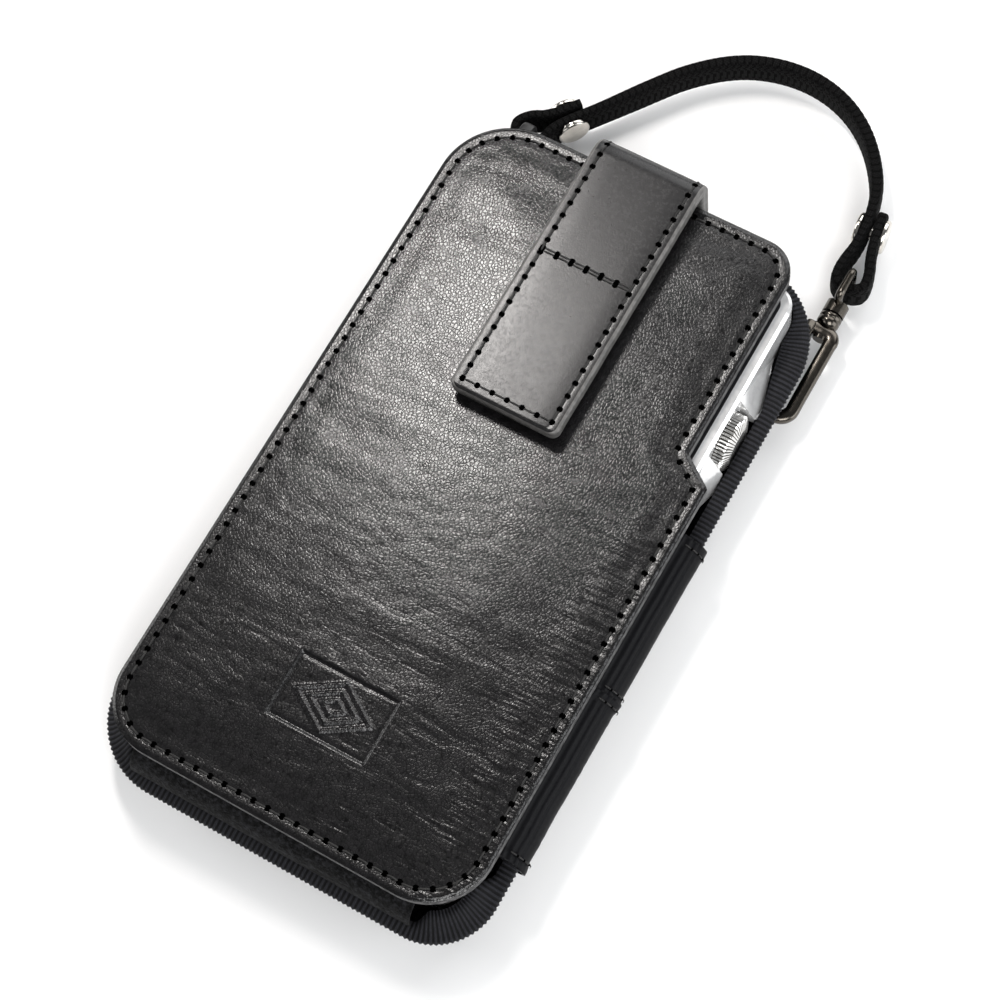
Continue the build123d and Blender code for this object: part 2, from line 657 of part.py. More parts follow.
with BuildPart() as hook_body:
    with BuildSketch(Plane.XY.offset(CORD_Z - HOOK_DEPTH / 2)):
        with BuildLine():
            rounded_outline(ARM_LEFT, HOOK_X + HOOK_HALF_WIDTH, HOOK_LOW, HOOK_HIGH,
                            HOOK_HALF_WIDTH - 0.05, HOOK_SHOULDER_RADIUS, HOOK_SHOULDER_RADIUS)
        make_face()
        with BuildLine():
            rounded_outline(ARM_LEFT + HOOK_ARM, ARM_RIGHT_INNER, HOOK_LOW + BOW_THICKNESS, SHOULDER_LOW,
                            HOOK_HALF_WIDTH - HOOK_ARM - 0.05, 0.2, 0.2)
        make_face(mode=Mode.SUBTRACT)
        with Locations((ARM_LEFT - 0.1, GATE_LOW - 0.3)):
            Rectangle(HOOK_ARM + 0.2, SHOULDER_LOW - GATE_LOW + 0.9, align=(Align.MIN, Align.MIN),
                      mode=Mode.SUBTRACT)
    extrude(amount=HOOK_DEPTH)
    for way in (1, -1):
        with Locations((pin_x, GATE_PIN_Y - 1.1, CORD_Z + way * fork_half)):
            Box(HOOK_ARM, HOOK_HIGH - GATE_PIN_Y - 0.9, FORK_PLATE,
                align=(Align.CENTER, Align.MIN, Align.MAX if way > 0 else Align.MIN))
    with Locations(Plane.XZ.offset(-HOOK_HIGH)):
        with Locations((HOOK_X, CORD_Z)):
            Cylinder(BARREL_RADIUS, BARREL_SPLIT - HOOK_HIGH, align=(Align.CENTER, Align.CENTER, Align.MAX))
    with Locations(Plane.XZ.offset(-BARREL_SPLIT)):
        with Locations((HOOK_X, CORD_Z)):
            Cylinder(POST_RADIUS + PIN_CLEARANCE, 8.0, align=(Align.CENTER, Align.CENTER, Align.MIN),
                     mode=Mode.SUBTRACT)
    with Locations((pin_x, GATE_PIN_Y, CORD_Z)):
        Cylinder(PIN_RADIUS, 2 * fork_half, mode=Mode.SUBTRACT)
save(hook_body.part, "snap_hook_body")

with BuildPart() as gate_pin:
    with Locations((pin_x, GATE_PIN_Y, CORD_Z)):
        Cylinder(PIN_RADIUS, 2 * fork_half)
save(gate_pin.part, "snap_hook_gate_pin")

GATE_HALF_WIDTH = HOOK_ARM / 2 - 0.2
with BuildPart() as gate:
    with Locations((pin_x, GATE_LOW, CORD_Z)):
        Box(2 * GATE_HALF_WIDTH, GATE_PIN_Y - GATE_LOW, GATE_THICKNESS,
            align=(Align.CENTER, Align.MIN, Align.CENTER))
    with Locations((pin_x, GATE_PIN_Y, CORD_Z)):
        Cylinder(GATE_HALF_WIDTH, GATE_THICKNESS)
        Cylinder(PIN_RADIUS + PIN_CLEARANCE, GATE_THICKNESS, mode=Mode.SUBTRACT)
save(gate.part, "snap_hook_gate")

SPRING_LEAF = 0.25
SPRING_LENGTH = 6.0
SPRING_WIDTH = 0.9
with BuildPart() as gate_spring:
    with Locations((ARM_LEFT + HOOK_ARM, SHOULDER_LOW, CORD_Z)):
        Box(SPRING_LEAF, SPRING_LENGTH, SPRING_WIDTH, align=(Align.MIN, Align.MAX, Align.CENTER))
save(gate_spring.part, "snap_hook_gate_spring")

EYE_GAP = 0.2
EYE_CORNER = 1.2
POST_SINK = 1.4              # how deep the post is pressed into the eye's barrel
with BuildPart() as eye:
    with BuildLine(Plane.YZ.offset(HOOK_X)) as eye_path:
        FilletPolyline(
            (EYE_BASE_Y, CORD_Z + EYE_HALF_HEIGHT),
            (EYE_BAR_Y, CORD_Z + EYE_HALF_HEIGHT),
            (EYE_BAR_Y, CORD_Z - EYE_HALF_HEIGHT),
            (EYE_BASE_Y, CORD_Z - EYE_HALF_HEIGHT),
            radius=EYE_CORNER,
            close=True,
        )
    eye_wire = eye_path.wires()[0]
    with BuildSketch(Plane(origin=eye_wire @ 0, z_dir=eye_wire % 0)):
        Circle(EYE_WIRE_RADIUS)
    sweep()
    with Locations(Plane.XZ.offset(-BARREL_SPLIT - EYE_GAP)):
        with Locations((HOOK_X, CORD_Z)):
            Cylinder(BARREL_RADIUS, EYE_BASE_Y - BARREL_SPLIT,
                     align=(Align.CENTER, Align.CENTER, Align.MAX))
            Cylinder(POST_RADIUS, POST_SINK,
                     align=(Align.CENTER, Align.CENTER, Align.MAX), mode=Mode.SUBTRACT)
save(eye.part, "snap_hook_eye")

HEAD_RADIUS = 1.45
HEAD_THICKNESS = 0.85
HEAD_GAP = 0.15
POST_END = BARREL_SPLIT + EYE_GAP + POST_SINK
HEAD_END = SHOULDER_LOW - HEAD_GAP - HEAD_THICKNESS
with BuildPart() as swivel_post:
    with Locations(Plane.XZ.offset(-POST_END)):
        with Locations((HOOK_X, CORD_Z)):
            Cylinder(POST_RADIUS, POST_END - HEAD_END, align=(Align.CENTER, Align.CENTER, Align.MIN))
    with Locations(Plane.XZ.offset(-HEAD_END)):
        with Locations((HOOK_X, CORD_Z)):
            Cylinder(HEAD_RADIUS, HEAD_THICKNESS, align=(Align.CENTER, Align.CENTER, Align.MAX))
save(swivel_post.part, "snap_hook_swivel_post")
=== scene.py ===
import math

import bpy
import numpy as np
from mathutils import Matrix, Vector, noise


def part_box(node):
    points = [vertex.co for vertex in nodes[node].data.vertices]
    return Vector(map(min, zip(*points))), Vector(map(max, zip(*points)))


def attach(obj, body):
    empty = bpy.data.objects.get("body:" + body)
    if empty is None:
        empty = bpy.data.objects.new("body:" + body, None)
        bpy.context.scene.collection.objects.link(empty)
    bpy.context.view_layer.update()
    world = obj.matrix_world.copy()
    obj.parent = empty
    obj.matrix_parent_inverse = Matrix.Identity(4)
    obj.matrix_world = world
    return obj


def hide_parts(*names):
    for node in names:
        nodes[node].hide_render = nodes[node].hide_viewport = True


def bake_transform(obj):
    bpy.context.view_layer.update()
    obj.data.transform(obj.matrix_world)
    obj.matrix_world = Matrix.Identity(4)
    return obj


# A leather case for a pocket audio player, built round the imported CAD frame.
# Meshes are worked out in millimetres and made in metres. +Z leaves the front panel, +Y points
# to the mouth and +X is the wheel side, with the origin under the middle of the back panel.

MM = 0.001
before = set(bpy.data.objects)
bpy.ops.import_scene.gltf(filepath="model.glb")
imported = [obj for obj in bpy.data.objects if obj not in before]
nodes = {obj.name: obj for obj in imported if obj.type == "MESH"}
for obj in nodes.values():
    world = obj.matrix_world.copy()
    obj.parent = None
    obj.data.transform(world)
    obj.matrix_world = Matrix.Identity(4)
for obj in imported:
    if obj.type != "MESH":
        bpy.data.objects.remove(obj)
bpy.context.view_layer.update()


# ---- small geometry helpers, all in millimetres ----
def smooth(t):
    """Ease from 0 to 1."""
    t = np.clip(t, 0.0, 1.0)
    return t * t * (3 - 2 * t)


def bump(x, centre, width):
    """A rounded hill, 1 high at its centre."""
    return np.exp(-(((x - centre) / width) ** 2))


def turn_angles(count, offset=0.0):
    """Angles that share out one full turn."""
    return [2 * math.pi * k / count + offset for k in range(count)]


def squared_off(wave, power):
    """A sine or cosine with its hills flattened, so that a round section turns boxy."""
    return math.copysign(abs(wave) ** power, wave)


def heading(line, i, closed=False):
    """The direction of a polyline at one of its points."""
    if closed:
        return (line[(i + 1) % len(line)] - line[i - 1]).normalized()
    return (line[min(i + 1, len(line) - 1)] - line[max(i - 1, 0)]).normalized()


def thinned(values, least):
    """Sorted values, without those that follow another too closely."""
    values = sorted(values)
    return [v for i, v in enumerate(values) if i == 0 or v - values[i - 1] > least]


def rounded_path(corners, radii, step=0.5):
    """Points a step apart round a closed polygon, with an arc at each corner."""
    out = []
    for i, radius in enumerate(radii):
        here = Vector(corners[i])
        into = (here - Vector(corners[i - 1])).normalized()
        away = (Vector(corners[(i + 1) % len(corners)]) - here).normalized()
        turn = math.atan2(into.x * away.y - into.y * away.x, into.dot(away))
        start = here - into * radius * math.tan(abs(turn) / 2)
        side = Vector((-into.y, into.x)) * math.copysign(radius, turn)
        count = max(2, int(abs(turn) * radius / step))
        for k in range(count + 1):
            swing = Matrix.Rotation(turn * k / count, 2)
            out.append(start + side - swing @ side)
    return resample(out, step, closed=True)


def resample(points, step, closed=False):
    """Points a steady step apart along a polyline."""
    pts = [Vector(p) for p in points]
    if closed:
        pts.append(pts[0])
    length = sum((b - a).length for a, b in zip(pts, pts[1:]))
    count = max(2, int(round(length / step)))
    gap = length / count
    out = [pts[0].copy()]
    walked = 0.0
    target = gap
    for a, b in zip(pts, pts[1:]):
        run = (b - a).length
        while run > 1e-9 and target <= walked + run + 1e-7 and len(out) <= count:
            out.append(a.lerp(b, min(1.0, (target - walked) / run)))
            target += gap
        walked += run
    if closed:
        out = out[:count]
    return out


def edge_distance(points, outline):
    """Distance of many plan points from a closed outline."""
    p = np.asarray(points, float)[:, None, :2]
    a = np.array([v[:2] for v in outline])
    b = np.roll(a, -1, axis=0)
    d = b - a
    t = np.clip(((p - a) * d).sum(-1) / np.maximum((d * d).sum(-1), 1e-12), 0, 1)
    return np.sqrt((((p - a) - t[..., None] * d) ** 2).sum(-1)).min(1)


def make(name, verts, faces, *materials, body="root", smooth_shade=True, material_of=None):
    """Make one mesh piece from millimetre points, and let it ride on a body."""
    mesh = bpy.data.meshes.new(name)
    mesh.from_pydata([tuple(c * MM for c in v) for v in verts], [], faces)
    mesh.polygons.foreach_set("use_smooth", [smooth_shade] * len(mesh.polygons))
    for material in materials:
        mesh.materials.append(material)
    if material_of is not None:
        mesh.polygons.foreach_set("material_index", material_of)
    mesh.update()
    obj = bpy.data.objects.new(name, mesh)
    bpy.context.scene.collection.objects.link(obj)
    if body:
        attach(obj, body)
    return obj


def loft(rings, closed=True, caps=True, base=0):
    """Faces between rings of equal size, listed one after another."""
    n = len(rings[0])
    last = n if closed else n - 1
    faces = []
    for r in range(len(rings) - 1):
        for k in range(last):
            a = base + r * n + k
            b = base + r * n + (k + 1) % n
            faces.append((a, b, b + n, a + n))
    if caps and closed:
        faces.append(tuple(base + k for k in reversed(range(n))))
        faces.append(tuple(base + (len(rings) - 1) * n + k for k in range(n)))
    return faces


def flat_list(rings):
    """All the points of a list of rings."""
    return [p for ring in rings for p in ring]


def strip_grid(ys, left_of, right_of, offsets, middles):
    """A grid of rows at the heights ys. Its columns keep their distance from both sides near
    them, and share out the middle between."""
    rows = []
    for y in ys:
        left, right = left_of(y), right_of(y)
        inner_left = left + offsets[-1]
        inner_right = right - offsets[-1]
        row = [(left + o, y) for o in offsets]
        row += [(inner_left + (inner_right - inner_left) * m, y) for m in middles]
        row += [(right - o, y) for o in reversed(offsets)]
        rows.append(row)
    return rows


THREAD_PLACES = (-0.5, -0.42, -0.25, 0.0, 0.25, 0.42, 0.5)
THREAD_SIDES = 6
HOLE_SIDES = 8
HOLE_TURN = 0.35
HOLE_SLANT = 0.5


def stitches(name, route, normals, pitch, body="root", width=0.19, closed=False, slack=0.0,
             hole_size=0.82):
    """A row of stitches: thin threads that run between slanted holes, each drawn as a dark disc of painted
    shade. The surface's normals are one for all or one for each point of the route."""
    pts = [Vector(p) for p in route]
    if isinstance(normals, tuple):
        normals = [normals] * len(pts)
    if closed:
        pts.append(pts[0])
        normals = normals + [normals[0]]
    reach = np.concatenate(([0.0], np.cumsum([(b - a).length for a, b in zip(pts, pts[1:])])))
    count = max(1, int(round(reach[-1] / pitch)))
    gap = reach[-1] / count
    places = np.array([tuple(p) for p in pts])
    ups = np.array(normals)

    def at(s):
        """The point that far along the route, with the surface's normal and the two directions in it."""
        here = Vector([np.interp(s, reach, places[:, i]) for i in range(3)])
        ahead = Vector([np.interp(s + 0.05, reach, places[:, i]) for i in range(3)])
        up = Vector([np.interp(s, reach, ups[:, i]) for i in range(3)]).normalized()
        along = (ahead - here).normalized()
        return here, up, along, along.cross(up).normalized()

    span = gap - hole_size * 1.2
    verts, faces, kinds = [], [], []
    for i in range(count):
        wobble = slack * noise.noise(Vector((i * 1.7, 0.3, reach[-1])))
        rings = []
        for t in THREAD_PLACES:
            here, up, along, side = at((i + 0.5) * gap + t * span)
            lift = width * (1.15 - 9.0 * abs(t) ** 3) - 0.08
            fat = width * (1.0 - 1.1 * abs(t) ** 3)
            centre = here + up * lift + side * wobble * (1 - abs(t))
            rings.append([centre + side * math.cos(a) * fat * 1.15 + up * math.sin(a) * fat * 0.8
                          for a in turn_angles(THREAD_SIDES)])
        thread_faces = loft(rings, base=len(verts))
        verts += flat_list(rings)
        faces += thread_faces
        kinds += [0] * len(thread_faces)

        # Each hole is a near-black disc raised just above the surface: painted shade where the punched hole
        # would be.
        here, up, along, side = at(i * gap)
        rings = []
        for size, rise in ((hole_size * 1.13, -0.08), (hole_size, 0.03), (hole_size * 0.5, 0.045)):
            ring = []
            for a in turn_angles(HOLE_SIDES, HOLE_TURN):
                pinch = 1.0 - 0.18 * abs(math.sin(2 * a))
                forward = along * math.cos(a + HOLE_SLANT) * size * pinch
                sideways = side * math.sin(a + HOLE_SLANT) * size * 0.86
                ring.append(here + up * rise + (forward + sideways))
            rings.append(ring)
        hole_faces = loft(rings, caps=False, base=len(verts))
        verts += flat_list(rings)
        hole_faces.append(tuple(range(len(verts) - HOLE_SIDES, len(verts))))
        faces += hole_faces
        kinds += [1] * len(hole_faces)
    return make(name, verts, faces, THREAD, HOLE_PAINTED_SHADE, body=body, material_of=kinds)


# ---- materials ----
class Nodes:
    """A material's node tree, with short calls for the nodes that the surfaces share."""

    def __init__(self, name, colour, roughness, metallic=0.0):
        self.material = bpy.data.materials.new(name)
        self.material.use_nodes = True
        self.tree = self.material.node_tree
        self.shader = self.tree.nodes["Principled BSDF"]
        self.shader.inputs["Base Color"].default_value = (*colour, 1)
        self.shader.inputs["Roughness"].default_value = roughness
        self.shader.inputs["Metallic"].default_value = metallic
        self.material.diffuse_color = (*colour, 1)
        where = self.add("ShaderNodeTexCoord")
        self.point = where.outputs["Object"]
        self.point = self.stretched(self.point, (1 / MM, 1 / MM, 1 / MM))
        self.last_normal = None

    def link(self, a, b):
        self.tree.links.new(a, b)

    def add(self, kind, **values):
        """Add a node, with its inputs set to numbers or linked from sockets. An input's spaces are
        written as underscores."""
        node = self.tree.nodes.new(kind)
        for name, value in values.items():
            self.feed(node.inputs[name.replace("_", " ")], value)
        return node

    def feed(self, slot, value):
        """Set an input to a number, or link it from a socket."""
        if isinstance(value, bpy.types.NodeSocket):
            self.link(value, slot)
        else:
            slot.default_value = value

    def socket(self, name, value):
        self.shader.inputs[name].default_value = value

    def axes(self):
        """The sample point's x, y and z, in millimetres."""
        node = self.add("ShaderNodeSeparateXYZ", Vector=self.point)
        return [node.outputs[axis] for axis in "XYZ"]

    def stretched(self, vector, stretch):
        """The sample point, or another vector, scaled along each axis."""
        return self.add("ShaderNodeMapping", Vector=vector or self.point, Scale=stretch).outputs["Vector"]

    def warp(self, size, amount):
        """Shift the sample point about by a soft noise, in millimetres."""
        cloud = self.add("ShaderNodeTexNoise", Vector=self.point, Scale=1.0 / size)
        mix = self.add("ShaderNodeMixRGB", Fac=amount, Color1=self.point, Color2=cloud.outputs["Color"])
        mix.blend_type = "LINEAR_LIGHT"
        return mix.outputs["Color"]

    def noise(self, size, detail=3.0, vector=None, stretch=(1, 1, 1), rough=0.55):
        """A noise with features of about that many millimetres."""
        node = self.add("ShaderNodeTexNoise", Vector=self.stretched(vector, stretch), Scale=1.0 / size,
                        Detail=detail, Roughness=rough)
        return node.outputs["Fac"]

    def cells(self, size, vector=None, feature="DISTANCE_TO_EDGE", stretch=(1, 1, 1)):
        """Pebbles of about that many millimetres."""
        node = self.add("ShaderNodeTexVoronoi", Vector=self.stretched(vector, stretch), Scale=1.0 / size)
        node.feature = feature
        return node.outputs["Distance"]

    def ranged(self, value, low, high, to_low=0.0, to_high=1.0):
        """Ease a value from one range into another."""
        node = self.add("ShaderNodeMapRange", Value=value, From_Min=low, From_Max=high,
                        To_Min=to_low, To_Max=to_high)
        node.interpolation_type = "SMOOTHSTEP"
        return node.outputs["Result"]

    def math(self, kind, a, b):
        """A sum or product of two values, each a socket or a number."""
        node = self.add("ShaderNodeMath")
        node.operation = kind
        self.feed(node.inputs[0], a)
        self.feed(node.inputs[1], b)
        return node.outputs["Value"]

    def wave(self, value, pitch):
        """A ridge every pitch, from 0 to 1, along a value in millimetres."""
        turns = self.math("MULTIPLY", value, 2 * math.pi / pitch)
        return self.math("ADD", self.math("MULTIPLY", self.math("SINE", turns, 0), 0.5), 0.5)

    def relief(self, value, depth):
        """Add a height, in millimetres, to the surface's bump."""
        node = self.add("ShaderNodeBump", Height=value, Distance=depth * MM, Strength=1.0)
        if self.last_normal:
            self.link(self.last_normal, node.inputs["Normal"])
        self.last_normal = node.outputs["Normal"]
        self.link(self.last_normal, self.shader.inputs["Normal"])

    def tint(self, value, low, high):
        """Colour the surface from one colour to another by a value."""
        ramp = self.add("ShaderNodeValToRGB", Fac=value)
        ramp.color_ramp.elements[0].color = (*low, 1)
        ramp.color_ramp.elements[1].color = (*high, 1)
        self.link(ramp.outputs["Color"], self.shader.inputs["Base Color"])

    def shine(self, value, low, high):
        """Vary the roughness by a value."""
        self.link(self.ranged(value, 0.0, 1.0, low, high), self.shader.inputs["Roughness"])


def grained_leather(name, dark, light, cell, depth, rough, creases=0.0):
    """Grained leather: small cells with dull furrows, and finer pores. Creases are that deep by the
    foot of the panel, and gather into puckers along its right seam."""
    n = Nodes(name, light, rough)
    moved = n.warp(1.1, 0.16)
    pebbles = n.cells(cell, moved, stretch=(1.0, 0.78, 1.0))
    tops = n.ranged(pebbles, 0.0, 0.24)
    n.relief(n.noise(7.0, 2.0), 0.05)
    if creases:
        x, y, _ = n.axes()
        low_half = n.ranged(y, -2.0, -34.0)
        right_half = n.ranged(x, -22.0, 22.0, 0.25, 1.0)
        furrows = n.ranged(n.noise(2.6, 3.0, stretch=(0.22, 1.0, 1.0), rough=0.5), 0.34, 0.46)
        n.relief(n.math("MULTIPLY", furrows, n.math("MULTIPLY", low_half, right_half)), creases)
        by_seam = n.math("MULTIPLY", n.ranged(x, 25.0, 36.0), n.ranged(y, 24.0, 8.0))
        puckers = n.noise(1.25, 1.0, stretch=(0.16, 1.0, 1.0))
        n.relief(n.math("MULTIPLY", puckers, by_seam), creases * 5.0)
    n.relief(tops, depth)
    n.relief(n.cells(cell * 0.5, moved), depth * 0.22)
    furrow_gloss = n.ranged(pebbles, 0.0, 0.11, 0.16, 0.64)
    n.link(furrow_gloss, n.shader.inputs["Specular IOR Level"])
    n.tint(n.ranged(n.noise(1.4, 4.0), 0.35, 0.65), dark, light)
    n.shine(n.noise(3.0, 3.0), rough - 0.03, rough + 0.04)
    return n.material


def smooth_leather(name, dark, light, rough, gloss=0.5):
    """Smooth strap leather: fine pores and a slightly uneven, waxed finish."""
    n = Nodes(name, light, rough)
    n.socket("Specular IOR Level", gloss)
    n.relief(n.noise(0.34, 2.0), 0.016)
    n.tint(n.ranged(n.noise(0.5, 2.0), 0.2, 0.8), dark, light)
    n.shine(n.noise(0.7, 2.0), rough - 0.05, rough + 0.07)
    return n.material


def painted_edge(name, dark, light):
    """Cut leather edges, sealed with paint: faint fibres along them, worn lighter in places."""
    n = Nodes(name, light, 0.42)
    n.relief(n.noise(0.35, 3.0), 0.03)
    n.relief(n.noise(2.0, 2.0), 0.05)
    n.tint(n.ranged(n.noise(1.3, 5.0), 0.38, 0.64), dark, light)
    n.shine(n.noise(1.0, 3.0), 0.32, 0.55)
    return n.material


def woven(name, dark, light, thread_mm, depth, sheen=0.3, rough=0.75, gloss=0.22):
    """Close-woven fabric: crossing threads of about that pitch, coloured darker in the low gaps between them
    as painted shade, and with a random tone.
    """
    n = Nodes(name, light, rough)
    n.socket("Sheen Weight", sheen)
    n.socket("Sheen Roughness", 0.4)
    n.socket("Specular IOR Level", gloss)
    x, y, z = n.axes()
    warp_threads = n.wave(n.math("ADD", x, z), thread_mm)
    weft_threads = n.wave(n.math("SUBTRACT", y, z), thread_mm)
    cloth = n.math("MULTIPLY", warp_threads, weft_threads)
    n.relief(cloth, depth)
    n.relief(n.noise(0.2, 2.0), depth * 0.5)
    # Colour follows the weave's height, darker in the gaps: painted shade, mixed with a random tone.
    n.tint(n.math("MULTIPLY", cloth, n.noise(1.5, 4.0)), dark, light)
    return n.material


def pile(name, dark, light, tuft_mm, depth):
    """Brushed velour or a looped tape: short tufts that lie in patches."""
    n = Nodes(name, light, 0.9)
    n.socket("Sheen Weight", 0.03)
    n.socket("Sheen Roughness", 0.5)
    n.socket("Specular IOR Level", 0.12)
    moved = n.warp(1.2, 0.7)
    tufts = n.cells(tuft_mm, moved, "F1")
    n.relief(tufts, -depth)
    n.relief(n.noise(2.4, 4.0), depth * 1.5)
    n.tint(n.ranged(n.noise(1.1, 6.0, rough=0.7), 0.42, 0.66), dark, light)
    return n.material


def metal(name, colour, rough, scratch=0.006, shell=1.0):
    """Plated or polished metal with fine scratches and handled, uneven gloss. A shell under 1 keeps
    some of a bright, painted look."""
    n = Nodes(name, colour, rough, shell)
    darker = tuple(c * 0.82 for c in colour)
    n.tint(n.ranged(n.noise(2.5, 5.0), 0.3, 0.7), darker, colour)
    n.relief(n.noise(0.5, 4.0), scratch)
    n.shine(n.noise(1.2, 5.0), max(0.02, rough - 0.05), rough + 0.08)
    return n.material


def plastic(name, dark, light, rough, gloss=0.5):
    """Moulded parts: a fine spark finish and slight mottling."""
    n = Nodes(name, light, rough)
    n.socket("Specular IOR Level", gloss)
    n.relief(n.noise(0.15, 3.0), 0.01)
    n.tint(n.ranged(n.noise(3.0, 4.0), 0.35, 0.7), dark, light)
    n.shine(n.noise(2.0, 3.0), rough - 0.03, rough + 0.06)
    return n.material


HIDE = ((0.003, 0.0028, 0.003), (0.007, 0.0065, 0.007))
PANEL_LEATHER = grained_leather("panel_leather", *HIDE, 0.62, 0.0135, 0.255, 0.04)
BACK_LEATHER = grained_leather("back_leather", *HIDE, 0.62, 0.020, 0.32)
STRAP_LEATHER = smooth_leather("strap_leather", (0.009, 0.009, 0.0095), (0.017, 0.0165, 0.017), 0.25, 0.33)
TAB_LEATHER = smooth_leather("tab_leather", (0.006, 0.006, 0.006), (0.012, 0.0115, 0.0115), 0.40)
STRAP_EDGE = painted_edge("strap_edge_paint", (0.085, 0.083, 0.08), (0.135, 0.13, 0.125))
PANEL_EDGE = painted_edge("panel_edge_paint", (0.028, 0.0275, 0.028), (0.11, 0.108, 0.108))
GUSSET_SKIN = smooth_leather("gusset_skin", (0.0012, 0.0012, 0.0018), (0.003, 0.003, 0.0042), 0.40, 0.10)
RIBBON = woven("grosgrain", (0.001, 0.001, 0.0015), (0.006, 0.006, 0.008), 0.28, 0.02, 0.03)
# A lighter copy of the grosgrain: painted highlight on the crests of its ribs.
RIB_PAINTED_HIGHLIGHT = woven("grosgrain_rib_painted_highlight", (0.012, 0.012, 0.015), (0.036, 0.037, 0.045), 0.28, 0.02, 0.06)
WEBBING = woven("webbing", (0.004, 0.004, 0.006), (0.012, 0.012, 0.015), 0.5, 0.05, 0.05)
# The braid's second yarn is a darker copy of the same yarn: painted shade for its low strands.
BRAID = woven("braid_yarn", (0.0015, 0.0015, 0.0015), (0.014, 0.0135, 0.014), 0.5, 0.06, 0.01, 0.8, 0.09)
BRAID_SHADE = woven("braid_yarn_painted_shade", (0.0008, 0.0008, 0.0008), (0.007, 0.007, 0.007),
                    0.5, 0.06, 0.0, 0.9, 0.05)
VELOUR = pile("velour", (0.0006, 0.0006, 0.0006), (0.018, 0.018, 0.020), 0.45, 0.16)
LINING = pile("lining", (0.004, 0.004, 0.005), (0.016, 0.016, 0.018), 0.5, 0.06)
TAPE = pile("tape_pile", (0.002, 0.002, 0.003), (0.010, 0.010, 0.013), 0.4, 0.12)
THREAD = woven("stitch_thread", (0.012, 0.012, 0.012), (0.11, 0.105, 0.10), 0.22, 0.03, 0.05, 0.5)
# Near-black stitch-hole discs: painted shade, not a hole cut into the leather.
HOLE_PAINTED_SHADE = plastic("stitch_hole_painted_shade", (0.0002, 0.0002, 0.0002), (0.0006, 0.0006, 0.0006), 0.9, 0.0)
BOARD = plastic("fibre_board", (0.05, 0.045, 0.04), (0.09, 0.08, 0.07), 0.85)
NICKEL = metal("nickel", (0.66, 0.63, 0.58), 0.16)
GUNMETAL = metal("gunmetal", (0.105, 0.095, 0.082), 0.20, 0.004)
SPRING_STEEL = metal("spring_steel", (0.5, 0.5, 0.5), 0.3)
POLISHED = metal("polished_steel", (0.93, 0.93, 0.93), 0.14, 0.002, shell=0.55)
KNURL = metal("knurled_steel", (0.86, 0.85, 0.83), 0.12, 0.002, shell=0.8)
# Dark metal for the wheel's groove bottoms: painted shade in the flutes.
FLUTE_PAINTED_SHADE = metal("flute_painted_shade", (0.06, 0.055, 0.045), 0.3, 0.002, shell=0.8)
GLASS = plastic("dark_glass", (0.006, 0.006, 0.007), (0.010, 0.010, 0.012), 0.08)
CELL = plastic("battery_wrap", (0.06, 0.06, 0.07), (0.11, 0.11, 0.12), 0.5)


def paint(material, *names):
    """Give CAD nodes that stay in view their surface."""
    for name in names:
        mesh = nodes[name].data
        mesh.materials.clear()
        mesh.materials.append(material)


# ---- camera, floor and light ----
TARGET = Vector((6.8, 3.85, 22.0)) * MM
AZIMUTH = math.radians(42.2)
ELEVATION = math.radians(68.9)
ROLL = math.radians(-13.2)
DISTANCE = 512.3 * MM
LENS = 90.0
back = Vector((math.sin(AZIMUTH) * math.cos(ELEVATION),
               -math.cos(AZIMUTH) * math.cos(ELEVATION),
               math.sin(ELEVATION)))
level = Vector((0, 0, 1)).cross(back).normalized()
upright = back.cross(level)
right = level * math.cos(ROLL) + upright * math.sin(ROLL)
up = upright * math.cos(ROLL) - level * math.sin(ROLL)
camera_data = bpy.data.cameras.new("camera")
camera_data.lens = LENS
camera_data.sensor_width = 36.0
camera_data.clip_start = 0.01
camera_data.clip_end = 20.0
camera = bpy.data.objects.new("camera", camera_data)
bpy.context.scene.collection.objects.link(camera)
facing = Matrix((right, up, back)).transposed().to_4x4()
camera.matrix_world = Matrix.Translation(TARGET + back * DISTANCE) @ facing
bpy.context.scene.camera = camera

floor_material = Nodes("floor", (0.93, 0.93, 0.93), 0.55)
floor_material.tint(floor_material.noise(400.0, 2.0), (0.92, 0.92, 0.92), (0.94, 0.94, 0.94))
FLOOR = 6000
floor_corners = [(FLOOR * x, FLOOR * y, 0) for x, y in ((-1, -1), (1, -1), (1, 1), (-1, 1))]
floor = make("floor", floor_corners, [(0, 1, 2, 3)], floor_material.material, body=None)


def area_light(name, place, look_at, size, power, colour=(1, 1, 1), depth=None):
    """A soft box that faces a point. Places are in millimetres."""
    data = bpy.data.lights.new(name, "AREA")
    data.shape = "RECTANGLE"
    data.size = size * MM
    data.size_y = (depth or size) * MM
    data.energy = power
    data.color = colour
    obj = bpy.data.objects.new(name, data)
    bpy.context.scene.collection.objects.link(obj)
    obj.location = Vector(place) * MM
    obj.rotation_mode = "QUATERNION"
    obj.rotation_quaternion = (Vector(place) - Vector(look_at)).to_track_quat("Z", "Y")
    return obj


area_light("key_soft_box", (-150, 168, 400), (-20, 32, 22), 54, 0.98, (1.0, 0.965, 0.94), 110)
area_light("camera_fill", (520, -520, 880), (0, 0, 0), 620, 8.5)
area_light("left_wall", (-1050, -150, 380), (0, 0, 0), 700, 5.5, (1.0, 0.99, 0.98))
area_light("right_wall", (1050, 100, 340), (0, 0, 0), 800, 6.0, (0.96, 0.98, 1.0))
area_light("back_wall", (100, 1050, 620), (0, 20, 0), 1000, 9.5)
world = bpy.data.worlds.new("studio")
bpy.context.scene.world = world
world.use_nodes = True
sky = world.node_tree.nodes["Background"]
sky.inputs["Color"].default_value = (0.94, 0.97, 1.0, 1)
sky.inputs["Strength"].default_value = 0.14
bpy.context.scene.view_settings.view_transform = "Standard"


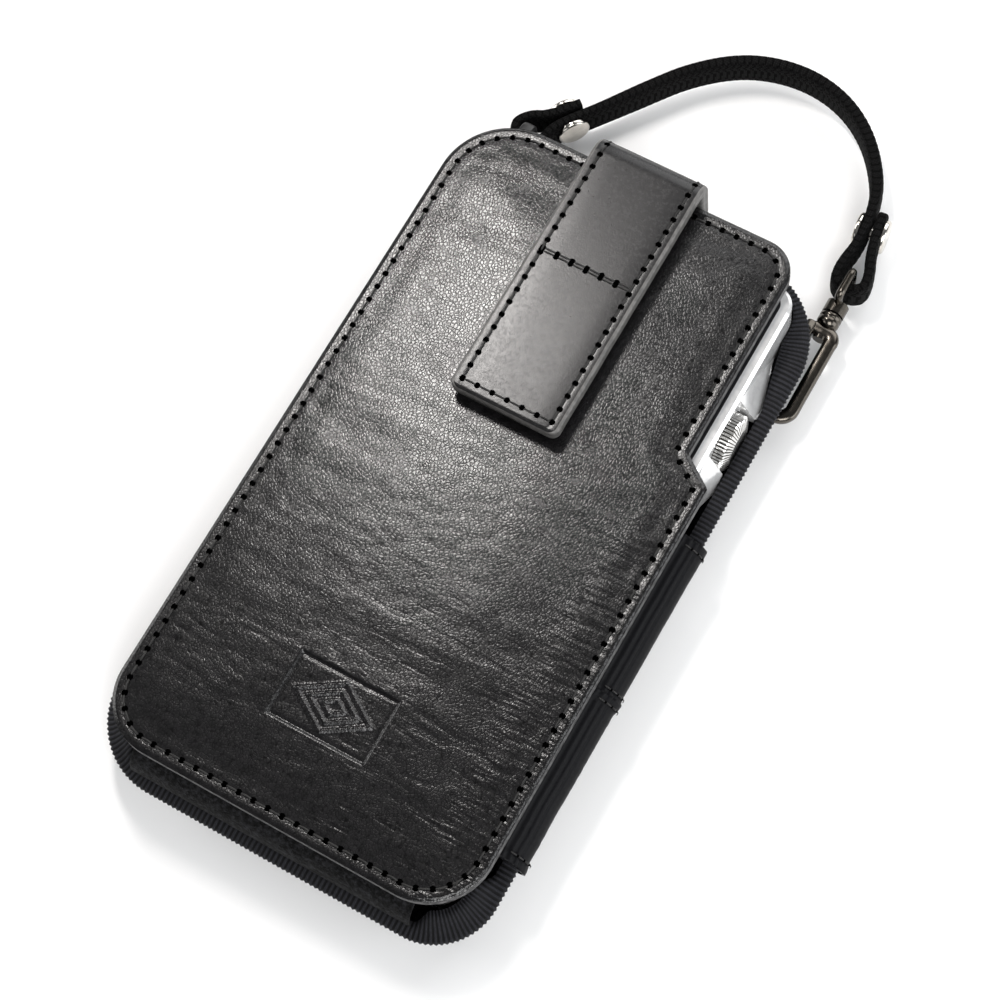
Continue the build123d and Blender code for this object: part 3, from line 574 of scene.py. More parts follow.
def box_mm(name):
    """A CAD node's lowest and highest corners, in millimetres."""
    low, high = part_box(name)
    return Vector(low) / MM, Vector(high) / MM


# ---- hand strap: a flat braid on its edge, folded and riveted at both ends ----
CORD_Z = 6.2
CORD_WIDTH = 8.0
CORD_THICKNESS = 2.5
CORD_LAYER = 1.35
FOLD_RADIUS = 3.45
LEFT_FOLD = Vector((-34.4, 87.2))
LEFT_RIVET = Vector((-28.8, 94.3))
RIGHT_FOLD = Vector((44.9, 88.2))
RIGHT_RIVET = Vector((43.4, 100.3))


def fold_points(fold, rivet, side):
    """One riveted fold, from its cut tail round to the free strand."""
    along = (rivet - fold).normalized()
    across = Vector((along.y, -along.x)) * side
    return [
        rivet - across * CORD_LAYER + along * 3.7,
        rivet - across * CORD_LAYER - along * 3.9,
        fold - across * FOLD_RADIUS + along * 1.6,
        fold - across * FOLD_RADIUS * 0.9 - along * 3.2,
        fold + across * FOLD_RADIUS * 0.9 - along * 3.2,
        fold + across * FOLD_RADIUS + along * 1.6,
        rivet + across * CORD_LAYER - along * 3.9,
        rivet + across * CORD_LAYER + along * 7.0,
    ]


ARC_POINTS = [(-16.7, 108.2), (-10.4, 116.6), (-1.6, 123.9), (7.4, 127.2),
              (16.4, 127.7), (24.9, 125.4), (32.3, 120.4), (37.9, 113.6)]
cord_route = fold_points(LEFT_FOLD, LEFT_RIVET, 1)
cord_route += [Vector(p) for p in ARC_POINTS]
cord_route += reversed(fold_points(RIGHT_FOLD, RIGHT_RIVET, -1))

route_data = bpy.data.curves.new("cord_route", "CURVE")
route_data.dimensions = "3D"
route_data.resolution_u = 24
spline = route_data.splines.new("NURBS")
spline.points.add(len(cord_route) - 1)
for point, place in zip(spline.points, cord_route):
    point.co = (place.x * MM, place.y * MM, CORD_Z * MM, 1)
spline.order_u = 3
spline.use_endpoint_u = True
route_object = bpy.data.objects.new("cord_route", route_data)
route_mesh = bpy.data.meshes.new_from_object(route_object)
cord_line = [v.co / MM for v in route_mesh.vertices]
bpy.data.objects.remove(route_object)
bpy.data.meshes.remove(route_mesh)

BRAID_PITCH = 1.6
BRAID_RELIEF = 0.17
CORD_SIDES = 44
CORD_STEP = 0.4
SWELL = 0.26


def braid_height(s, v):
    """Strands that cross at an angle, over and under each other."""
    a = (s + v) / BRAID_PITCH
    b = (s - v) / BRAID_PITCH
    over = (math.floor(a) + math.floor(b)) % 2 == 0
    one = abs(math.sin(math.pi * a))
    other = abs(math.sin(math.pi * b))
    return (one * 0.75 + 0.25 * other) if over else (other * 0.75 + 0.25 * one)


cord_rings = []
cord_heights = []
fine_line = resample(cord_line, CORD_STEP)
for i, here in enumerate(fine_line):
    side = heading(fine_line, i).cross(Vector((0, 0, 1)))
    from_end = min(i, len(fine_line) - 1 - i) * CORD_STEP
    swell = 1 + SWELL * float(smooth((from_end - 38.0) / 14.0))
    ring = []
    for a in turn_angles(CORD_SIDES):
        wide = squared_off(math.cos(a), 0.55) * (CORD_WIDTH / 2 - 0.1)
        thin = squared_off(math.sin(a), 0.45) * (CORD_THICKNESS / 2 - 0.16) * swell
        height = braid_height(i * CORD_STEP, wide)
        cord_heights.append(height)
        grow = 1 + BRAID_RELIEF * height / max(0.6, math.hypot(thin, wide * 0.15))
        ring.append(here + side * thin * grow + Vector((0, 0, wide)))
    cord_rings.append(ring)
cord_faces = loft(cord_rings)
# Strands lying low, under their crossings, get the darker yarn: painted shade in the braid's hollows.
strand_shade_kinds = [0 if cord_heights[min(face)] > 0.55 else 1 for face in cord_faces]
cord = make("hand_strap_braid", flat_list(cord_rings), cord_faces, BRAID, BRAID_SHADE,
            material_of=strand_shade_kinds)
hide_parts("hand_strap_cord")
RIVETS = ["left_rivet_cap", "left_rivet_base", "right_rivet_cap", "right_rivet_base"]
paint(NICKEL, *RIVETS)

# ---- front panel: padded leather over a backing, both with painted edges ----
PANEL_HALF = 43.0
PANEL_LOW = -76.7
PANEL_HIGH = 81.6
PANEL_CUT = 36.0
NOTCH_LOW = 26.0
NOTCH_HIGH = 31.0
R_BOTTOM_RIGHT = 14.0
R_TOP_RIGHT = 7.6
R_TOP_LEFT = 16.0
R_BOTTOM_LEFT = 13.0
STITCH_INSET = 2.5
STITCH_PITCH = 3.4
BADGE_X = -0.6
BADGE_Y = -50.35
BADGE_HALF_X = 11.6
BADGE_HALF_Y = 7.4


def panel_path(inset, step=0.5):
    """The front panel's outline, set in by a distance."""
    corners = [(PANEL_HALF - inset, PANEL_LOW + inset), (PANEL_HALF - inset, NOTCH_LOW - inset * 0.5),
               (PANEL_CUT - inset, NOTCH_HIGH - inset * 0.5), (PANEL_CUT - inset, PANEL_HIGH - inset),
               (-PANEL_HALF + inset, PANEL_HIGH - inset), (-PANEL_HALF + inset, PANEL_LOW + inset)]
    radii = [R_BOTTOM_RIGHT - inset, 0.8, 1.2, R_TOP_RIGHT - inset * 0.8,
             R_TOP_LEFT - inset, R_BOTTOM_LEFT - inset]
    return rounded_path(corners, radii, step)


def arc_in(y, low, high, r_low, r_high):
    """How far a side lies inside its straight line at a height, because of its corners."""
    if y > high - r_high:
        return r_high - math.sqrt(max(0.0, r_high ** 2 - (y - high + r_high) ** 2))
    if y < low + r_low:
        return r_low - math.sqrt(max(0.0, r_low ** 2 - (low + r_low - y) ** 2))
    return 0.0


def panel_left(y):
    return -PANEL_HALF + arc_in(y, PANEL_LOW, PANEL_HIGH, R_BOTTOM_LEFT, R_TOP_LEFT)


def panel_right(y):
    side = np.interp(y, [NOTCH_LOW, NOTCH_HIGH], [PANEL_HALF, PANEL_CUT])
    return side - arc_in(y, PANEL_LOW, PANEL_HIGH, R_BOTTOM_RIGHT, R_TOP_RIGHT)


def panel_top(d, x, y):
    """Height of the front leather: a rounded edge, the sunk seam, the padding and its creases."""
    z = 22.0 - 0.42 * (1 - smooth(d / 0.8)) - 0.10 * bump(d, STITCH_INSET, 0.75)
    z = z + 0.26 * smooth((d - 2.9) / 6.5) + 0.74 * smooth((d - 4.0) / 30.0)
    for i in range(len(z)):
        along = noise.noise(Vector((x[i] * 0.035, y[i] * 0.15, 1.0)))
        crossing = noise.noise(Vector((x[i] * 0.10 + y[i] * 0.05, y[i] * 0.30 - x[i] * 0.04, 4.0)))
        pucker = noise.noise(Vector((x[i] * 0.55, y[i] * 0.55, 7.0)))
        calm = float(smooth((d[i] - 2.8) / 3.0))
        z[i] += calm * (0.11 * along - 0.045 * max(0.0, 0.3 - abs(crossing)) / 0.3)
        z[i] += 0.06 * pucker * float(bump(d[i], 4.6, 2.2))
    border = np.minimum(BADGE_HALF_X - np.abs(x - BADGE_X), BADGE_HALF_Y - np.abs(y - BADGE_Y))
    inside = smooth(border / 0.35) + 0.35 * bump(border, 0.55, 0.35)
    lozenge = np.abs(x - BADGE_X) / 9.2 + np.abs(y - BADGE_Y) / 5.8
    rings = bump(lozenge, 0.28, 0.07) + bump(lozenge, 0.62, 0.07) + bump(lozenge, 0.95, 0.07)
    ridge = bump(np.abs(np.abs(x - BADGE_X) - BADGE_HALF_X), 0.7, 0.5) * (np.abs(y - BADGE_Y) < BADGE_HALF_Y)
    return z - inside * (0.50 - 0.40 * rings) + 0.05 * ridge


def graded(low, high, coarse, extra=()):
    """Heights that crowd towards both ends, with more wherever asked."""
    ends = [0.0, 0.02, 0.08, 0.18, 0.32, 0.5, 0.75, 1.05, 1.4, 1.8, 2.2, 2.5, 2.8, 3.2, 3.7, 4.3, 5.0, 5.8]
    values = [low + e for e in ends] + [high - e for e in ends] + list(extra)
    values += list(np.arange(low + ends[-1] + coarse, high - ends[-1] - coarse / 2, coarse))
    return thinned(values, 0.015)


def build_front_panel():
    fine = list(np.arange(BADGE_Y - BADGE_HALF_Y - 1.0, BADGE_Y + BADGE_HALF_Y + 1.0, 0.32))
    ys = graded(PANEL_LOW, PANEL_HIGH, 0.9, fine + list(np.arange(NOTCH_LOW - 1, NOTCH_HIGH + 1, 0.4)))
    offsets = [0.0, 0.12, 0.3, 0.5, 0.75, 1.05, 1.4, 1.8, 2.2, 2.5, 2.8, 3.2, 3.7, 4.3, 5.0, 5.8, 6.8, 8.0]
    span = 2 * (PANEL_HALF - 8.0)
    badge_xs = np.arange(BADGE_X - BADGE_HALF_X - 1, BADGE_X + BADGE_HALF_X + 1, 0.35)
    xs = thinned(list(np.arange(-34.2, 34.5, 0.9)) + list(badge_xs), 0.15)
    middles = [(v + PANEL_HALF - 8.0) / span for v in xs]
    rows = strip_grid(ys, panel_left, panel_right, offsets, middles)
    columns = len(rows[0])
    flat = np.array(flat_list(rows))
    d = edge_distance(flat, panel_path(0.0))
    z = panel_top(d, flat[:, 0], flat[:, 1])
    verts = [(p[0], p[1], h) for p, h in zip(flat, z)]
    faces = loft(rows, closed=False)
    kinds = [0] * len(faces)
    last = (len(rows) - 1) * columns
    border = list(range(columns)) + [r * columns + columns - 1 for r in range(1, len(rows))]
    border += [last + k for k in reversed(range(columns - 1))]
    border += [r * columns for r in reversed(range(1, len(rows) - 1))]
    centre = Vector((0, 0))
    previous = border
    for drop, tuck in ((21.3, 0.0), (20.75, 0.0), (20.5, 0.14)):
        ring = []
        for i in border:
            x, y, _ = verts[i]
            toward = (centre - Vector((x, y))).normalized() * tuck
            ring.append(len(verts))
            verts.append((x + toward.x, y + toward.y, drop))
        n = len(border)
        for k in range(n):
            faces.append((previous[k], ring[k], ring[(k + 1) % n], previous[(k + 1) % n]))
            kinds.append(1)
        previous = ring
    faces.append(tuple(reversed(previous)))
    kinds.append(1)
    panel = make("front_panel", verts, faces, PANEL_LEATHER, PANEL_EDGE, material_of=kinds)
    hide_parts("front_panel_leather", "front_panel_foam", "front_panel_board")

    outline = [Vector((p.x, p.y, 0)) for p in panel_path(0.0, 0.4)]
    rings = []
    for z_ring, tuck in ((19.0, 0.35), (19.08, 0.12), (19.3, 0.0), (20.05, 0.0), (20.3, 0.1), (20.4, 0.35)):
        ring = []
        for k, p in enumerate(outline):
            along = heading(outline, k, closed=True)
            outward = Vector((along.y, -along.x, 0))
            wave = 0.05 * noise.noise(p * 0.12)
            ring.append(p - outward * tuck + Vector((0, 0, z_ring + wave * (z_ring < 20.2))))
        rings.append(ring)
    backing = make("front_panel_backing_leather", flat_list(rings), loft(rings), PANEL_EDGE)
    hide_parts("front_panel_backing")

    seam = panel_path(STITCH_INSET, 0.6)
    places = [(p.x, p.y, 21.93) for p in seam]
    row = stitches("front_panel_stitching", places, (0, 0, 1), STITCH_PITCH, closed=True, slack=0.25)


build_front_panel()

# ---- closure strap: two layers with painted edges, from the back panel over the mouth ----
STRAP_X = -1.2
STRAP_HALF = 12.8
STRAP_THICK = 3.2
STRAP_END = 19.5
STRAP_TOP = 28.3
STRAP_BACK = 85.4
STRAP_BEND = 4.4
STRAP_STITCH = 2.2
STRAP_PITCH = 3.3
CROSS_SEAM_Y = 55.1


def strap_route(step):
    """The strap's outer surface in its side plane, as (y, z) with the outward normal, from end to foot."""
    line = []
    bend_y = STRAP_BACK - STRAP_BEND
    bend_z = STRAP_TOP - STRAP_BEND
    foot = 3.0
    tip = [0.0, 0.05, 0.13, 0.25, 0.42, 0.65, 0.95, 1.3]
    for y in [STRAP_END + t for t in tip] + list(np.arange(STRAP_END + 1.8, bend_y, step)):
        line.append(((y, STRAP_TOP), (0, 1)))
    for a in np.linspace(0, math.pi / 2, 14):
        out = (math.sin(a), math.cos(a))
        line.append(((bend_y + STRAP_BEND * out[0], bend_z + STRAP_BEND * out[1]), out))
    for z in np.arange(bend_z - step, foot, -step):
        line.append(((STRAP_BACK, z), (1, 0)))
    for a in np.linspace(0, math.pi / 2, 10):
        out = (math.cos(a), -math.sin(a))
        line.append(((STRAP_BACK - foot + foot * out[0], foot + foot * out[1]), out))
    for y in np.arange(STRAP_BACK - foot - step, 79.2, -step):
        line.append(((y, 0.0), (0, -1)))
    return line


def strap_section(half, thick):
    """The strap's section: (across, height under the outer surface), with bevelled painted edges."""
    edge = [(half - 0.72, 0.0), (half - 0.5, 0.03), (half - 0.16, 0.22), (half, 0.6),
            (half, 1.42), (half - 0.12, 1.6), (half, 1.78), (half, 2.5),
            (half - 0.25, 3.0), (half - 0.8, 3.2)]
    right_edge = [(u, v * thick / STRAP_THICK) for u, v in edge]
    top = [(half - w, s) for w, s in ((1.6, 0.0), (1.9, 0.01), (2.2, 0.05), (2.5, 0.02), (2.8, 0.0))]
    middle = [(u, -0.03) for u in (half * 0.5, half * 0.2, -half * 0.2, -half * 0.5)]
    top_all = [(-u, v) for u, v in top] + middle[::-1] + top[::-1]
    under = [(u, thick) for u in (half * 0.6, 0.0, -half * 0.6)]
    return top_all + right_edge + under + [(-u, v) for u, v in reversed(right_edge)]


def build_strap():
    rings, kinds = [], []
    line = strap_route(0.8)
    walked = 0.0
    for i, ((y, z), out) in enumerate(line):
        if i:
            walked += math.dist((y, z), line[i - 1][0])
        near = min(1.0, walked / 1.6)
        half = STRAP_HALF - 1.6 + 1.6 * math.sqrt(max(0.0, 1 - (1 - near) ** 2))
        thick = STRAP_THICK if z > 3.2 else STRAP_THICK - 2.1 * float(smooth((3.2 - z) / 3.2))
        wander = 0.06 * noise.noise(Vector((0, y * 0.2, z * 0.2)))
        ring = []
        for u, v in strap_section(half, thick):
            depth = v + (0.32 * max(0.0, 1 - walked / 0.65) ** 2 if v < 0.2 else 0)
            ring.append((STRAP_X + u + wander, y - out[0] * depth, z - out[1] * depth))
        rings.append(ring)
    n = len(rings[0])
    faces = loft(rings)
    for face in faces[:-2]:
        k = min(face) % n
        kinds.append(1 if 14 <= k < 24 or k >= 27 else 0)
    kinds += [1, 1]
    strap = make("closure_strap", flat_list(rings), faces, STRAP_LEATHER, STRAP_EDGE, body=None,
                 material_of=kinds)
    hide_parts("closure_strap_outer", "closure_strap_lining", "closure_strap_base")
    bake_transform(strap)

    first = STRAP_END + STRAP_STITCH
    outer = [p for p in strap_route(0.5) if p[0][1] > 2.0 and (p[0][0] > first or p[0][1] < 20)]
    reach = STRAP_HALF - STRAP_STITCH
    for name, x in (("left", STRAP_X - reach), ("right", STRAP_X + reach)):
        places = [(x, y - 0.01 * out_y, z - 0.01 * out_z) for (y, z), (out_y, out_z) in outer]
        normals = [(0, out_y, out_z) for _, (out_y, out_z) in outer]
        seam = stitches(f"closure_strap_stitching_{name}", places, normals, STRAP_PITCH, body=None, slack=0.2)
        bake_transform(seam)
    for name, y, slack in (("stitching_end", first, 0.2), ("seam_lower", CROSS_SEAM_Y - 0.35, 0.3),
                           ("seam_upper", CROSS_SEAM_Y + 0.35, 0.3)):
        ends = [(STRAP_X - reach, y, STRAP_TOP), (STRAP_X + reach, y, STRAP_TOP)]
        stitches(f"closure_strap_{name}", ends, (0, 0, 1), STRAP_PITCH, body="flap", slack=slack)


build_strap()


def pad_block(name, node, material, round_mm, body, ridge=0.0):
    """A flat soft strip in a node's box, with rounded corners and an uneven pile surface."""
    low, high = box_mm(node)
    corners = [(high.x, low.y), (high.x, high.y), (low.x, high.y), (low.x, low.y)]
    path = rounded_path(corners, [round_mm] * 4, 0.45)
    middle = (low + high) / 2
    rings = []
    for share, tuck in ((0.0, 0.25), (0.15, 0.0), (0.85, 0.0), (1.0, 0.25)):
        z = low.z + (high.z - low.z) * share
        ring = []
        for k, p in enumerate(path):
            toward = (Vector((middle.x, middle.y)) - p).normalized()
            shaggy = ridge * noise.noise(Vector((p.x * 1.3, p.y * 1.3, z)))
            ring.append((p.x + toward.x * (tuck + shaggy), p.y + toward.y * (tuck + shaggy), z))
        rings.append(ring)
    piece = make(name, flat_list(rings), loft(rings), material, body=body)
    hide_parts(node)
    return piece


pad_block("closure_loop_strip", "closure_loop_tape", TAPE, 1.0, "root", 0.25)
pad_block("closure_hook_strip", "closure_hook_tape", TAPE, 1.0, "flap", 0.15)

# ---- ribbon-bound rim round the wall ----
RIM_HALF = 46.2
RIM_LOW = -82.0
RIM_HIGH = 81.3
WALL_WIDE = 43.6
WALL_NARROW = 40.2
WALL_LOW = -79.4
WALL_HIGH = 79.0
RIB_PITCH = 1.1
RIB_STEP = RIB_PITCH / 4
RIB_DEPTH = 0.17


def wall_path(inset, right_low=47.8, right_high=50.9, step=0.5):
    """The wall's outline in plan, with its steps in beside the snap hook."""
    wide = WALL_WIDE - inset
    narrow = WALL_NARROW - inset
    low = WALL_LOW + inset
    high = WALL_HIGH - inset
    corners = [(wide, low), (wide, right_low), (narrow, right_high), (narrow, high),
               (-narrow, high), (-narrow, 50.9), (-wide, 47.8), (-wide, low)]
    radii = [12.4 - inset, 0.8, 0.8, 10.0 - inset, 10.0 - inset, 0.8, 0.8, 12.4 - inset]
    return rounded_path(corners, radii, step)


def inward_gap(place, inward, path):
    """Distance from a point to a closed outline along one direction."""
    a = np.array([tuple(p[:2]) for p in path])
    d = np.roll(a, -1, axis=0) - a
    o = np.array(place[:2])
    v = np.array(inward[:2])
    cross = v[0] * d[:, 1] - v[1] * d[:, 0]
    cross = np.where(np.abs(cross) < 1e-9, 1e-9, cross)
    w = a - o
    t = (w[:, 0] * d[:, 1] - w[:, 1] * d[:, 0]) / cross
    u = (w[:, 0] * v[1] - w[:, 1] * v[0]) / cross
    hits = t[(u >= -0.01) & (u <= 1.01) & (t > 0)]
    return float(hits.min()) if len(hits) else 3.0


def build_rim():
    corners = [(RIM_HALF, RIM_LOW), (RIM_HALF, RIM_HIGH), (-RIM_HALF, RIM_HIGH), (-RIM_HALF, RIM_LOW)]
    path = rounded_path(corners, [14.0, 20.5, 20.5, 18.0], RIB_STEP)
    gap = [i for i, p in enumerate(path) if p.y > 75 and abs(p.x) < 26.8]
    path = path[gap[-1] + 1:] + path[:gap[0]]
    inner = wall_path(0.9, 50.6, 66.0)
    rings = []
    for i, p in enumerate(path):
        along = heading(path, i)
        inward = Vector((-along.y, along.x))
        width = min(8.5, inward_gap(p, inward, inner)) - 0.05
        corner = float(smooth((abs(p.x) - 33.5) / 5.0) * smooth((-62.0 - p.y) / 6.0))
        lean = 3.6 * corner
        top_width = width + (5.9 - width) * corner if corner > 0 else width
        rib = RIB_DEPTH * math.cos(2 * math.pi * i / 4)
        sway = 0.25 * noise.noise(Vector((p.x * 0.06, p.y * 0.06, 2.0)))
        end = min(1.0, min(i, len(path) - 1 - i) * RIB_STEP / 2.0)
        profile = [(width, 8.98, 0, 0), (width * 0.55, 8.98, 0, -1), (1.3, 9.05 - 0.1 * sway, 0, -1),
                   (0.45, 9.35, -0.6, -0.7), (0.08, 9.85, -1, -0.2), (0.1, 10.5, -1, 0.3),
                   (0.5, 11.05, -0.6, 0.7), (1.4, 11.35 + sway * 0.4, 0, 1),
                   (top_width * 0.35 + 0.8, 11.42 + lean * 0.3 + sway * 0.5, 0, 1),
                   (top_width * 0.68, 11.42 + lean * 0.65 + sway * 0.3, 0, 1),
                   (top_width, 11.4 + lean, 0, 1), (top_width, 10.8 + lean, 0, 0),
                   (top_width * 0.5 + 0.6, 10.55 + lean * 0.3, 0, 0), (width, 10.3, 0, 0)]
        ring = []
        for reach, z, out_x, out_z in profile:
            reach += out_x * rib
            z = 10.2 + (z + out_z * rib - 10.2) * (0.4 + 0.6 * end)
            ring.append((p.x + inward.x * reach, p.y + inward.y * reach, z))
        rings.append(ring)
    faces = loft(rings)
    around = len(rings[0])
    # Faces on each rib's crest get the lighter grosgrain: a painted highlight along every rib.
    kinds = [1 if (min(face) // around) % 4 in (0, 3) else 0 for face in faces]
    ribbon = make("edge_ribbon", flat_list(rings), faces, RIBBON, RIB_PAINTED_HIGHLIGHT, material_of=kinds)
    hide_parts("edge_binding")
    seam = []
    for k in range(10, len(path) - 10, 8):
        along = heading(path, k)
        inward = Vector((-along.y, along.x))
        inset = min(1.6, 0.6 * min(8.5, inward_gap(path[k], inward, inner)))
        seam.append((*(path[k] + inward * inset), 8.9))
    stitches("edge_ribbon_stitching", seam, (0, 0, -1), 3.0, width=0.2, hole_size=0.5)


build_rim()


# ---- back panel and wall ----
def build_back():
    outline = wall_path(0.0, step=0.8)
    rings = []
    for tuck, z in ((0.0, 1.12), (0.0, 0.75), (0.2, 0.3), (0.8, 0.02), (2.3, 0.0), (2.7, 0.32),
                    (3.3, 0.32), (3.7, 0.0), (6.0, 0.0)):
        ring = []
        for k, p in enumerate(outline):
            along = heading(outline, k, closed=True)
            outward = Vector((along.y, -along.x))
            q = p - outward * tuck
            ring.append((q.x, q.y, z))
        rings.append(ring)
    rings.insert(0, [(x, y, 1.1) for x, y, _ in rings[4]])
    back_skin = make("back_panel_skin", flat_list(rings), loft(rings), BACK_LEATHER)
    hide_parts("back_panel_leather")
    seam = [(p.x, p.y, 0.42) for p in wall_path(3.0, step=0.7)]
    stitches("back_panel_stitching", seam, (0, 0, -1), STITCH_PITCH, closed=True, slack=0.2)

    outline = wall_path(0.0, step=0.6)
    gap = [i for i, p in enumerate(outline) if p.y > 70 and abs(p.x) < 27.0]
    outline = outline[gap[-1] + 1:] + outline[:gap[0]]
    rings = []
    for i, p in enumerate(outline):
        along = heading(outline, i)
        outward = Vector((along.y, -along.x))
        soft = noise.noise(Vector((p.x * 0.08, p.y * 0.08, 5.0)))
        ring = []
        for t in (0.0, 0.12, 0.3, 0.5, 0.7, 0.88, 1.0):
            puff = 0.45 * math.sin(math.pi * t) * (0.7 + soft)
            q = p + outward * puff
            ring.append((q.x, q.y, 1.1 + 7.85 * t))
        for t in (1.0, 0.66, 0.33, 0.0):
            q = p - outward * 0.85
            ring.append((q.x, q.y, 1.1 + 7.85 * t))
        rings.append(ring)
    wall = make("wall_skin", flat_list(rings), loft(rings), GUSSET_SKIN)
    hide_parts("back_wall")


build_back()
paint(BOARD, "back_panel_board")
paint(LINING, "back_panel_lining")

# ---- gussets: thin folded strips with stitched hems, and the velour strip below the panel ----
HEM = 2.6
GUSSET_STEPS = [0.0, 0.1, 0.2, 0.3, 0.4, 0.5, 0.58, 0.62, 0.645, 0.67, 0.70, 0.73, 0.755, 0.78,
                0.81, 0.84, 0.865, 0.89, 0.92, 0.96, 1.0]
GUSSET_AT = [0.0, 0.2, 0.4, 0.55, 0.64, 0.70, 0.78, 0.86, 0.94, 1.0]
GUSSET_RISE = [11.6, 12.4, 13.9, 15.3, 16.2, 16.8, 17.5, 18.1, 18.6, 18.92]
GUSSET_REACH = {1: [46.7, 47.7, 47.8, 47.1, 46.4, 45.7, 44.7, 43.6, 42.4, 41.2],
                -1: [44.4, 44.7, 44.6, 44.4, 44.1, 43.7, 43.1, 42.5, 41.9, 41.2]}
GUSSET_PLEATS = (0.645, 0.755, 0.865)


def build_gusset(side, name, low, high, over):
    """One strip between the rim and the panel. It bulges, creases along its folds and ends in hems."""
    rings = []
    for y in np.arange(low, high + 0.01, 0.5):
        from_end = min(y - low, high - y)
        hem = 0.28 * float(smooth((HEM - from_end) / 0.5))
        lift = over * float(smooth((3.2 - from_end) / 3.0))
        soft = noise.noise(Vector((side * 3.0, y * 0.12, 1.0)))
        fine = noise.noise(Vector((side * 9.0, y * 0.7, 2.0)))
        out = []
        for t in GUSSET_STEPS:
            x = np.interp(t, GUSSET_AT, GUSSET_REACH[side])
            z = np.interp(t, GUSSET_AT, GUSSET_RISE)
            crease = -0.30 * sum(math.exp(-((t - pleat) / 0.014) ** 2) for pleat in GUSSET_PLEATS)
            puff = (0.35 * soft + 0.10 * fine) * math.sin(math.pi * t)
            out.append((x + puff + crease + hem * 0.7 + lift, z + crease * 0.5 + hem * 0.2))
        inner = [(x - 0.6 - hem * 0.7, z - 0.25) for x, z in reversed(out)]
        rings.append([(side * x, y, z) for x, z in out + inner])
    if side < 0:
        rings = [list(reversed(r)) for r in rings]
    strip = make(f"{name}_strip", flat_list(rings), [tuple(reversed(f)) for f in loft(rings)], GUSSET_SKIN)
    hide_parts(name)
    for end_name, end in (("low", low + HEM - 0.5), ("high", high - HEM + 0.5)):
        line, ups = [], []
        for t in (0.2, 0.4, 0.55, 0.7, 0.86):
            reach = np.interp(t, GUSSET_AT, GUSSET_REACH[side]) + 0.42 + over * 0.6
            line.append((side * reach, end, np.interp(t, GUSSET_AT, GUSSET_RISE) + 0.12))
            ups.append((side * (1.2 - t), 0, t))
        stitches(f"{name}_hem_{end_name}", line, ups, 1.9, width=0.13, hole_size=0.3)


for side, side_name in ((1, "right"), (-1, "left")):
    build_gusset(side, f"{side_name}_gusset_lower", -60.0, -20.2, 0.35)
    build_gusset(side, f"{side_name}_gusset_upper", -21.6, 16.5, 0.0)


def build_bottom_strip():
    """The velour strip between the rim and the panel's foot, a little uneven along its length."""
    rings = []
    for x in np.arange(-33.0, 33.01, 0.6):
        from_end = 33.0 - abs(x)
        soft = noise.noise(Vector((x * 0.12, 2.0, 3.0)))
        fine = noise.noise(Vector((x * 0.8, 4.0, 3.0)))
        end = float(smooth(from_end / 1.2))
        out = [(-79.6, 11.3), (-79.7, 12.6), (-79.4, 14.2), (-78.8, 15.9),
               (-77.9, 17.1), (-76.6, 18.1), (-75.0, 18.95)]
        puff = (0.3 * soft + 0.12 * fine) * end
        outer = [(y - puff * math.sin(math.pi * i / 6), z) for i, (y, z) in enumerate(out)]
        inner = [(y + 0.5 + 0.5 * end, z - 0.2) for y, z in reversed(outer)]
        rings.append([(x, y, z) for y, z in outer + inner])
    strip = make("bottom_velour_strip", flat_list(rings), loft(rings), VELOUR)
    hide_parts("bottom_gusset")


build_bottom_strip()


BAR_SIDES = 20
BAR_STEP = 0.35


def band(name, route, width, thickness, cross, material):
    """A narrow strap swept along a smooth route; cross is the direction of its width."""
    line = [Vector(p) for p in route]
    for _ in range(3):
        cut = [line[0]]
        for a, b in zip(line, line[1:]):
            cut += [a.lerp(b, 0.25), a.lerp(b, 0.75)]
        line = cut + [line[-1]]
    line = resample(line, BAR_STEP)
    cross = Vector(cross)
    rings = []
    for i, p in enumerate(line):
        out = cross.cross(heading(line, i)).normalized()
        waver = 1 + 0.06 * noise.noise(p * 0.5)
        ring = []
        for a in turn_angles(BAR_SIDES):
            w = squared_off(math.cos(a), 0.4) * width / 2 * waver
            t = squared_off(math.sin(a), 0.5) * thickness / 2
            ring.append(p + cross * w + out * t)
        rings.append(ring)
    return make(name, flat_list(rings), loft(rings), material)


LEFT_LOOP = [(79.2, 2.3), (83.5, 1.6), (87.6, 1.5), (87.3, 6.2),
             (87.6, 11.2), (83.5, 11.9), (78.0, 12.2), (75.5, 12.0)]
RIGHT_LOOP = [(40.2, 4.4), (42.2, 4.2), (43.9, 4.4), (43.9, 6.2), (43.9, 8.0), (42.2, 8.2), (40.2, 8.0)]
left_loop = band("left_strap_loop", [(-34.4, y, z) for y, z in LEFT_LOOP], 2.8, 1.2, (1, 0, 0), TAB_LEATHER)
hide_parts("left_strap_tab")
right_loop = band("right_strap_loop", [(x, 58.2, z) for x, z in RIGHT_LOOP], 4.0, 0.9, (0, 1, 0), WEBBING)
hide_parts("right_strap_tab")

# ---- player: frame, glasses and a knurled wheel with a bevelled, fluted face ----
paint(POLISHED, "player_frame", "player_wheel_guard_upper", "player_wheel_guard_lower")
paint(GLASS, "player_screen_glass", "player_back_glass")
paint(CELL, "player_battery_and_board")
paint(SPRING_STEEL, "player_wheel_shaft", "snap_hook_gate_spring")
WHEEL_Y = 40.8
WHEEL_Z = 10.9
TEETH = 48
TOOTH_POINTS = 6
TOOTH_DEPTH = 0.42


